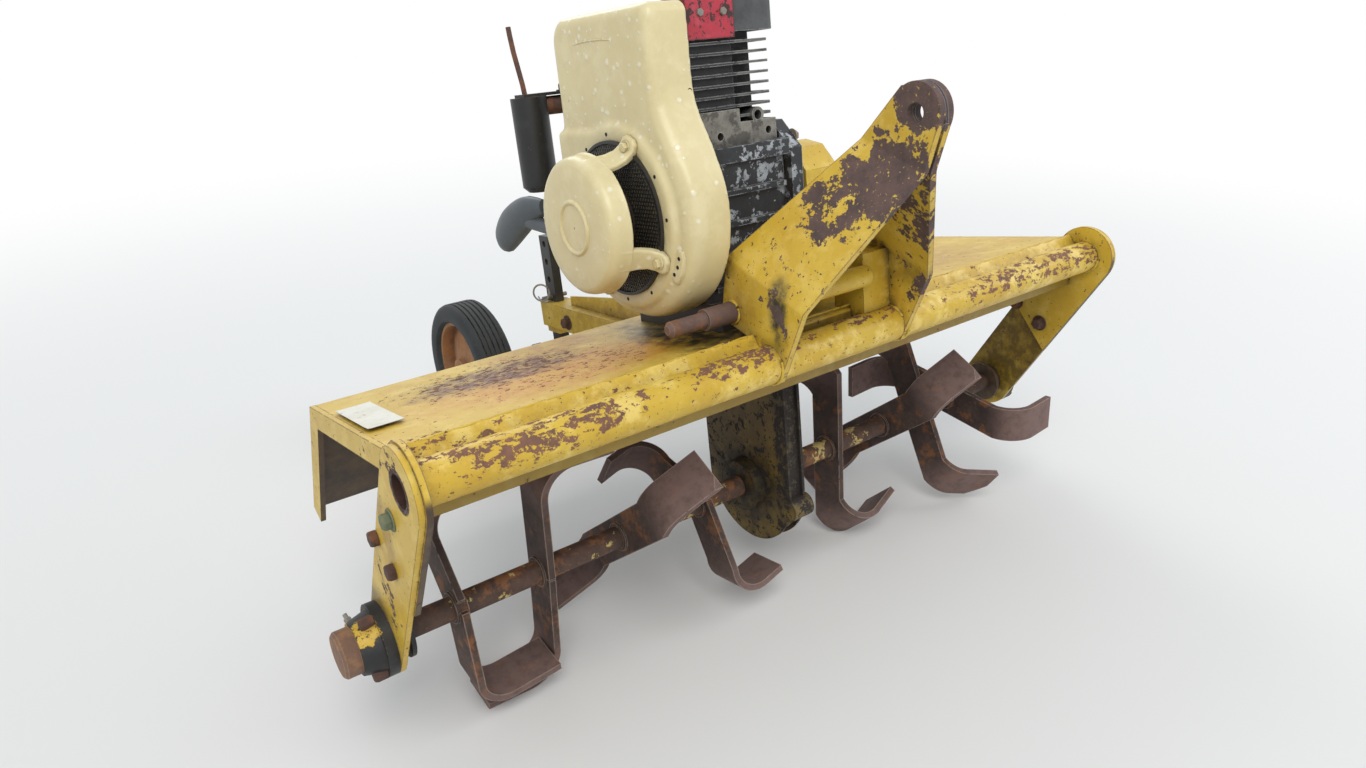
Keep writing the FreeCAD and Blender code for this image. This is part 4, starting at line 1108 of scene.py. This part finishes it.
# %% Bolts on arms and bearings
ARM_OUTER, ARM_INNER = 533.4, 520.7
FLANGE_FACE, FLANGE_RING = ARM_OUTER + 12, 35
arm_bolts, green, flange_bolts, nipples = (bmesh.new() for kind in range(4))
for side in (-1, 1):
    outward, inward = (side, 0, 0), (-side, 0, 0)
    for y, z in ((111, -87), (75, -110)):
        bolt(arm_bolts, (side * ARM_OUTER, y, z), outward, 16, 8, 0, 0.4)
    for y, z, turn in ((69.6, -114, 0.1), (112, -84.5, 0.5)):
        bolt(arm_bolts, (side * ARM_INNER, y, z), inward, 16, 9, 1.6, turn)
    bolt(green, (side * ARM_OUTER, 45, -43.6), outward, 15, 8, 1.6, 0.2)
    for x, y, z in round_line(*ROTOR, FLANGE_RING, side * FLANGE_FACE, 3, -8, 352):
        bolt(flange_bolts, (x, y, z), outward, 13, 15, 0, 0.2)
    base = Vector((side * 561, 197, -215))
    out = Vector((side * 0.1, 0.84, 0.54)).normalized()
    bead(nipples, [base, base + out * 7], 4.2, 6)
    bead(nipples, [base + out * far for far in (7, 9, 10, 13)], 2.6, 10)
make_piece("arm_bolts", arm_bolts, bolt_steel, bevel=0.6)
make_piece("green_bolts", green, green_bolt, bevel=0.6)
make_piece("bearing_bolts", flange_bolts, bolt_steel, bevel=0.6)
make_piece("grease_nipples", nipples, zinc_bolt)

# %% Bolts on the engine, socket and can
COVER_X, HEAD_TOP, SHROUD_FRONT = 42, 397.5, 98
engine_bolts = bmesh.new()
for y, z in ((100, 76), (130, 64), (210, 64), (240, 76), (246, 150), (240, 232), (210, 244),
             (130, 244), (100, 232), (94, 150)):
    bolt(engine_bolts, (COVER_X, y, z), (1, 0, 0), 11, 6, 1.0, y * 0.1)
for x, y in ((-28, 110), (-28, 170), (-28, 228), (0, 110), (0, 228), (14, 140), (14, 200)):
    bolt(engine_bolts, (x, y, HEAD_TOP), (0, 0, 1), 11, 7, 1.2, x * 0.2)
for x in (-86, -54):
    bolt(engine_bolts, (x, SHROUD_FRONT, 376), (0, -1, 0), 8, 4, 0.8, 0.3)
make_piece("engine_bolts", engine_bolts, zinc_bolt, bevel=0.4)
small_bolts = bmesh.new()
bolt(small_bolts, (-10, 641.5, -77.6), (-1, 0, 0), 17, 9, 1.8, 0.2)
bolt(small_bolts, (34, 641.5, -77.6), (1, 0, 0), 17, 11, 1.8, 0.2)
bolt(small_bolts, (-96, 392, 309), (0, 0, 1), 15, 8, 1.6, 0.2)
make_piece("small_bolts", small_bolts, bolt_steel, bevel=0.6)

# %% [markdown]
# ## Welds
# Wherever plate meets tube there is a hand-laid weld under the paint. A thin torus would look
# machined, so each bead has uneven lumps, and sits half sunk in the corner that it fills.

# %% Weld beads
# x, y, z, radius, first and last angle
WELDS = [
    (-104.5, 0, 0, 22.6, -200, 20), (-95.5, 0, 0, 22.6, 60, 150), (104.5, 0, 0, 22.6, -200, 20),
    (95.5, 0, 0, 22.6, 60, 150), (-520.4, 0, 0, 22.8, -170, 60), (520.4, 0, 0, 22.8, -170, 60),
    (-96, -4, 70, 13, 0, 360), (-104.4, 59, 52, 13, 0, 360), (104.4, 59, 52, 13, 0, 360)]
welds = bmesh.new()
for seed, (x, y, z, radius, first, last) in enumerate(WELDS):
    line = round_line(y, z, radius, x, 30, first, last)
    bead(welds, line, 2.1, 7, closed=last - first >= 360, lumps=0.7, seed=seed)
line = [(x, 24.0, 30.4 + 0.2 * math.sin(x)) for x in range(-500, 501, 8)]
bead(welds, line, 1.5, 6, lumps=0.5, seed=20)
make_piece("weld_beads", welds, yellow_small, 70)

# %% [markdown]
# The tube and the skirt of the hood leave a sharp groove between them, and old paint and mastic
# have filled it. A strip with a hollow face closes it on both sides of the mast.

# %% Filled seam between the tube and the hood
HOLLOW = [(24.4, 31.4), (22.6, 30.6), (20.6, 27.6), (18.4, 23.6), (15.8, 19.4), (12.6, 17.2),
          (17, 12), (23, 16)]
STEPS = 60
seam_fill = bmesh.new()
for start, end in ((-519, -105), (105, 519)):
    rings = []
    for i in range(STEPS + 1):
        x, wave_y, wave_z = start + (end - start) * i / STEPS, math.sin(i * 2.1), math.sin(i * 1.3)
        rings.append([Vector((x, y + 0.25 * wave_y, z + 0.3 * wave_z)) for y, z in HOLLOW])
    skin(seam_fill, rings)
make_piece("seam_fill", seam_fill, yellow_tube, 60)

# %% [markdown]
# ## Plate, clip and rod
# The plate on the hood is left blank. It is a thin vinyl sheet whose corners have begun to lift,
# so it is a small grid with raised corners rather than a painted rectangle. A ring clip holds the
# depth post, and a thin rod stands on the exhaust can.

# %% Blank plate on the hood
def hood_top(y):
    """Height of the hood's top sheet at a distance behind the tube."""
    return 30.2 - (y - 22.2) * 23 / 278.8


PLATE_PLACE, PLATE_SIZE = (-518, 114), (37, 112)
COLUMNS, ROWS = 10, 16
plate = bmesh.new()
for lift in (0.3, 0.75):
    verts = []
    for i in range(COLUMNS + 1):
        for j in range(ROWS + 1):
            u, v = i / COLUMNS, j / ROWS
            y = PLATE_PLACE[1] + PLATE_SIZE[1] * v
            curl = 5.0 * max(0, abs(u - 0.5) + abs(v - 0.5) - 0.90)
            point = (PLATE_PLACE[0] + PLATE_SIZE[0] * u, y, hood_top(y) + lift + curl)
            verts.append(plate.verts.new(point))
    for i in range(COLUMNS):
        for j in range(ROWS):
            a = i * (ROWS + 1) + j
            plate.faces.new((verts[a], verts[a + 1], verts[a + ROWS + 2], verts[a + ROWS + 1]))
make_piece("blank_plate", plate, plate_vinyl, 60)

# %% Ring clip and rod
RING_SIDE = Vector((0.66, -0.75, 0))
clip = bmesh.new()
bead(clip, [(-14, 716, -44.2), (34, 716, -44.2)], 3.8, 12)
bead(clip, ring((-15, 716, -33), RING_SIDE, Vector((0, 0, 1)), 15, 28), 1.7, 8, closed=True)
bead(clip, [(-14, 716, -44.2), (-15.5, 720, -46), (-14, 727, -47.5), (-12.5, 735, -43)], 1.5, 8)
make_piece("ring_clip", clip, zinc_bolt)
thin_rod = bmesh.new()
bead(thin_rod, [(-150, 404, 306), (-150, 407, 322), (-151, 411, 342), (-152, 415, 362),
                (-152, 419, 384), (-152, 420, 394)], 3.4, 10)
make_piece("can_rod", thin_rod, bolt_steel)

# %% [markdown]
# ## Gauge wheel
# The tyre has five grooves round it and a rounded shoulder. They could be bump, but they break
# its outline against the floor, so they are turned into the profile.

# %% Grooved tyre
WHEEL_X = -123.0
TREAD_EDGE, RIB, GROOVE = 24.5, 5.8, 3.2
TREAD_RADIUS, GROOVE_RADIUS = 127, 122.5
wheel_low, wheel_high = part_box("tyre")
wheel_middle = leaned.inverted() @ ((Vector(wheel_low) + Vector(wheel_high)) / 2)
shoulder = [(23, 93), (27, 94), (31.5, 97), (33, 103), (33, 112), (32, 117.5), (29, 122), (26, 125)]
tread = [(TREAD_EDGE, 126)]
x = TREAD_EDGE
for groove in range(5):
    x -= RIB
    tread += [(x, TREAD_RADIUS), (x - 0.6, GROOVE_RADIUS), (x - 2.6, GROOVE_RADIUS),
              (x - GROOVE, TREAD_RADIUS)]
    x -= GROOVE
profile = [(WHEEL_X + x, r) for x, r in shoulder + tread]
profile += [(WHEEL_X - x, r) for x, r in shoulder[::-1]]
tyre = bmesh.new()
lathe(tyre, profile, wheel_middle.y * 1000, wheel_middle.z * 1000, steps=64)
make_piece("grooved_tyre", tyre, tyre_rubber, 30, body="wheel")
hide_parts("tyre")
print("axle", [round(v, 4) for v in wheel_middle])
